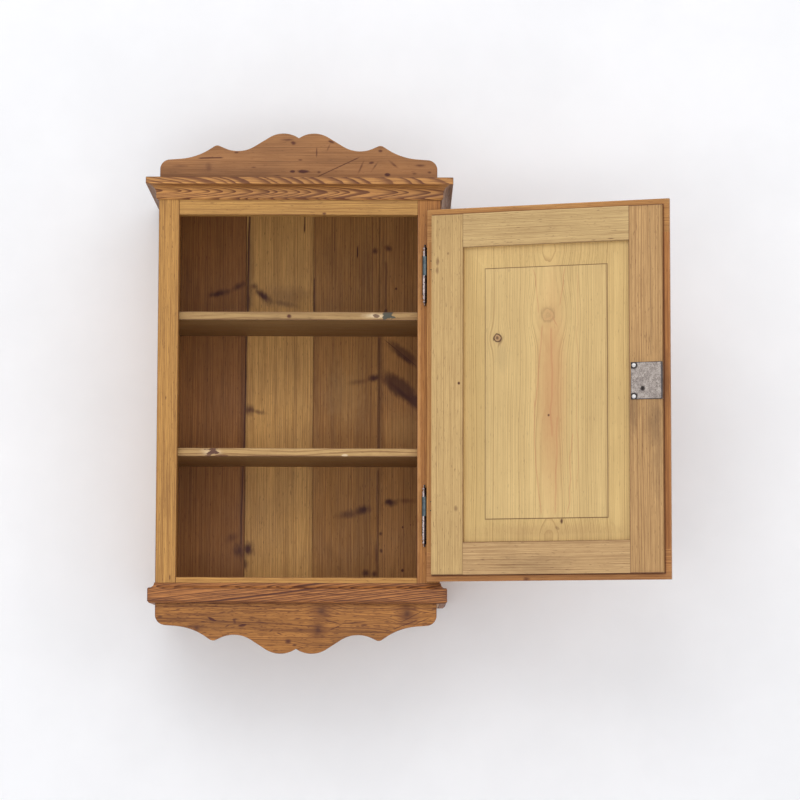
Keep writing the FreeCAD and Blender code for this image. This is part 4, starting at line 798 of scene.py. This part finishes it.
METALS = {
    "hinge": metal("hinge_iron_worn", srgb(38, 38, 40), srgb(96, 98, 104), worn=srgb(150, 150, 152)),
    "dark": metal("nail_iron", srgb(34, 30, 28), srgb(82, 76, 70)),
    "lock": metal("lock_steel_old", srgb(128, 122, 114), srgb(188, 184, 178), worn=srgb(96, 84, 74),
                  size=160, rough=0.42),
    "cover": lock_plate(),
    "screw": metal("screw_steel", srgb(214, 210, 208), srgb(246, 244, 242), size=260, rough=0.3,
                   metallic=0.6),
    "brass": metal("brass_aged", srgb(112, 84, 42), srgb(176, 140, 80), worn=srgb(84, 66, 40)),
}
DOOR_KNUCKLE = 32 * MM
for hinge in ("hinge_upper", "hinge_lower"):
    METALS[f"{hinge}_door"] = knuckle_iron(f"{hinge}_door_leaf", DOOR_KNUCKLE)
    METALS[f"{hinge}_frame"] = knuckle_iron(f"{hinge}_frame_leaf", 0)
METAL_OF = {
    "back_nails": "dark", "hanger_left": "dark", "hanger_right": "dark", "hanger_screws": "dark",
    "hinge_door_nails": "dark", "hinge_frame_nails": "dark", "hinge_upper_pin": "hinge",
    "hinge_lower_pin": "hinge", "hinge_upper_door_leaf": "hinge_upper_door",
    "hinge_lower_door_leaf": "hinge_lower_door", "hinge_upper_frame_leaf": "hinge_upper_frame",
    "hinge_lower_frame_leaf": "hinge_lower_frame", "bolt_spring": "lock",
    "lock_bolt": "lock", "lock_case": "lock", "lock_cover": "cover", "lock_drill_pin": "dark",
    "lock_screws": "screw", "key": "dark", "escutcheon": "brass", "escutcheon_pins": "brass",
}


def dress(node, material):
    target = frame["nodes"][node]
    target.data.materials.clear()
    target.data.materials.append(material)


def soften(node, width):
    """Rounds the arrises of a CAD node by a hair, with modifiers only."""
    target = frame["nodes"][node]
    weld = target.modifiers.new("weld", "WELD")
    weld.merge_threshold = 1e-6
    bevel = target.modifiers.new("arris", "BEVEL")
    bevel.width = width
    bevel.segments = 2
    bevel.limit_method = "ANGLE"
    bevel.angle_limit = math.radians(35)
    bevel.harden_normals = True


for node, settings in BOARDS.items():
    dress(node, wood(f"wood_{node}", board_box(node, settings.get("door", False)), settings))
    # a bevel on a board full of nail holes leaves false creases
    if not node.startswith("back_board"):
        soften(node, 0.8 * MM)
for node, metal_name in METAL_OF.items():
    dress(node, METALS[metal_name])


# the room: a white wall, a pale floor and soft light

def plane(name, corners, material):
    mesh = bpy.data.meshes.new(name)
    mesh.from_pydata(corners, [], [(0, 1, 2, 3)])
    mesh.materials.append(material)
    made = bpy.data.objects.new(name, mesh)
    bpy.context.scene.collection.objects.link(made)


def plaster():
    """White wall paint, seen only from the room's side so that the cabinet's back can be looked at.

    Rays that start closer to it than near_reach also pass, so the back isn't dark where it nearly
    touches the wall."""
    near_reach = 12 * MM
    g = Graph("wall_plaster")
    place = g.coordinates.outputs["Object"]
    patch = g.noise(place, 3.0, 4, 0.6)
    colour = g.mix(g.ramp(patch, 0.3, 0.7), srgb(243, 243, 245), srgb(248, 248, 250))
    g.feed(g.shader.inputs["Base Color"], colour)
    g.shader.inputs["Roughness"].default_value = 0.9
    g.shader.inputs["Specular IOR Level"].default_value = 0.1
    g.bump(g.noise(place, 60, 3), 0.6 * MM, 0.3)
    clear = g.node("ShaderNodeBsdfTransparent")
    behind = g.node("ShaderNodeNewGeometry").outputs["Backfacing"]
    near = g.math("LESS_THAN", g.node("ShaderNodeLightPath").outputs["Ray Length"], near_reach)
    choose = g.node("ShaderNodeMixShader")
    g.feed(choose.inputs[0], g.both(behind, near))
    g.feed(choose.inputs[1], g.shader.outputs[0])
    g.feed(choose.inputs[2], clear.outputs[0])
    output = [n for n in g.tree.nodes if n.bl_idname == "ShaderNodeOutputMaterial"][0]
    g.feed(output.inputs["Surface"], choose.outputs[0])
    return g.material


def floor_paint():
    g = Graph("floor_pale")
    place = g.coordinates.outputs["Object"]
    colour = g.mix(g.noise(place, 2, 3), srgb(226, 226, 226), srgb(236, 236, 236))
    g.feed(g.shader.inputs["Base Color"], colour)
    g.shader.inputs["Roughness"].default_value = 0.8
    return g.material


WALL_Y = cad_high.y + 1.5 * MM
WALL_TOP = 4.0
FLOOR_Z = -1.6
REACH = 9.0
plane("wall", [(-REACH, WALL_Y, FLOOR_Z), (REACH, WALL_Y, FLOOR_Z), (REACH, WALL_Y, WALL_TOP),
               (-REACH, WALL_Y, WALL_TOP)], plaster())
plane("floor", [(-REACH, -REACH, FLOOR_Z), (REACH, -REACH, FLOOR_Z), (REACH, REACH, FLOOR_Z),
                (-REACH, REACH, FLOOR_Z)], floor_paint())

world = bpy.data.worlds.new("room")
world.use_nodes = True
world.node_tree.nodes["Background"].inputs["Color"].default_value = (0.97, 0.98, 1.0, 1)
world.node_tree.nodes["Background"].inputs["Strength"].default_value = 0.79
bpy.context.scene.world = world


def softbox(name, place, target, size, power):
    light = bpy.data.lights.new(name, "AREA")
    light.shape = "RECTANGLE"
    light.size, light.size_y = size
    light.energy = power
    made = bpy.data.objects.new(name, light)
    made.location = place
    made.rotation_euler = (Vector(target) - Vector(place)).to_track_quat("-Z", "Y").to_euler()
    bpy.context.scene.collection.objects.link(made)


AIM = (0.1, -0.1, -0.4)
softbox("key", (-0.7, -3.8, 2.0), AIM, (3.2, 2.4), 41)
softbox("fill", (2.4, -3.8, 0.6), AIM, (2.0, 2.0), 16)
softbox("low", (0.0, -4.0, -1.4), AIM, (3.6, 1.0), 28)

bpy.context.scene.view_settings.view_transform = "Standard"

CAMERA_PLACE = (0.170, -5.349, -0.900)
CAMERA_YAW = -0.0005
CAMERA_TILT = 0.0985
CAMERA_ROLL = 0.003

camera = bpy.data.cameras.new("camera")
camera.lens = 135
camera.sensor_width = 36
camera.clip_end = 50
eye = bpy.data.objects.new("camera", camera)
bpy.context.scene.collection.objects.link(eye)
eye.matrix_world = (
    Matrix.Translation(CAMERA_PLACE)
    @ Matrix.Rotation(CAMERA_YAW, 4, "Z")
    @ Matrix.Rotation(math.pi / 2 + CAMERA_TILT, 4, "X")
    @ Matrix.Rotation(CAMERA_ROLL, 4, "Z")
)
bpy.context.scene.camera = eye
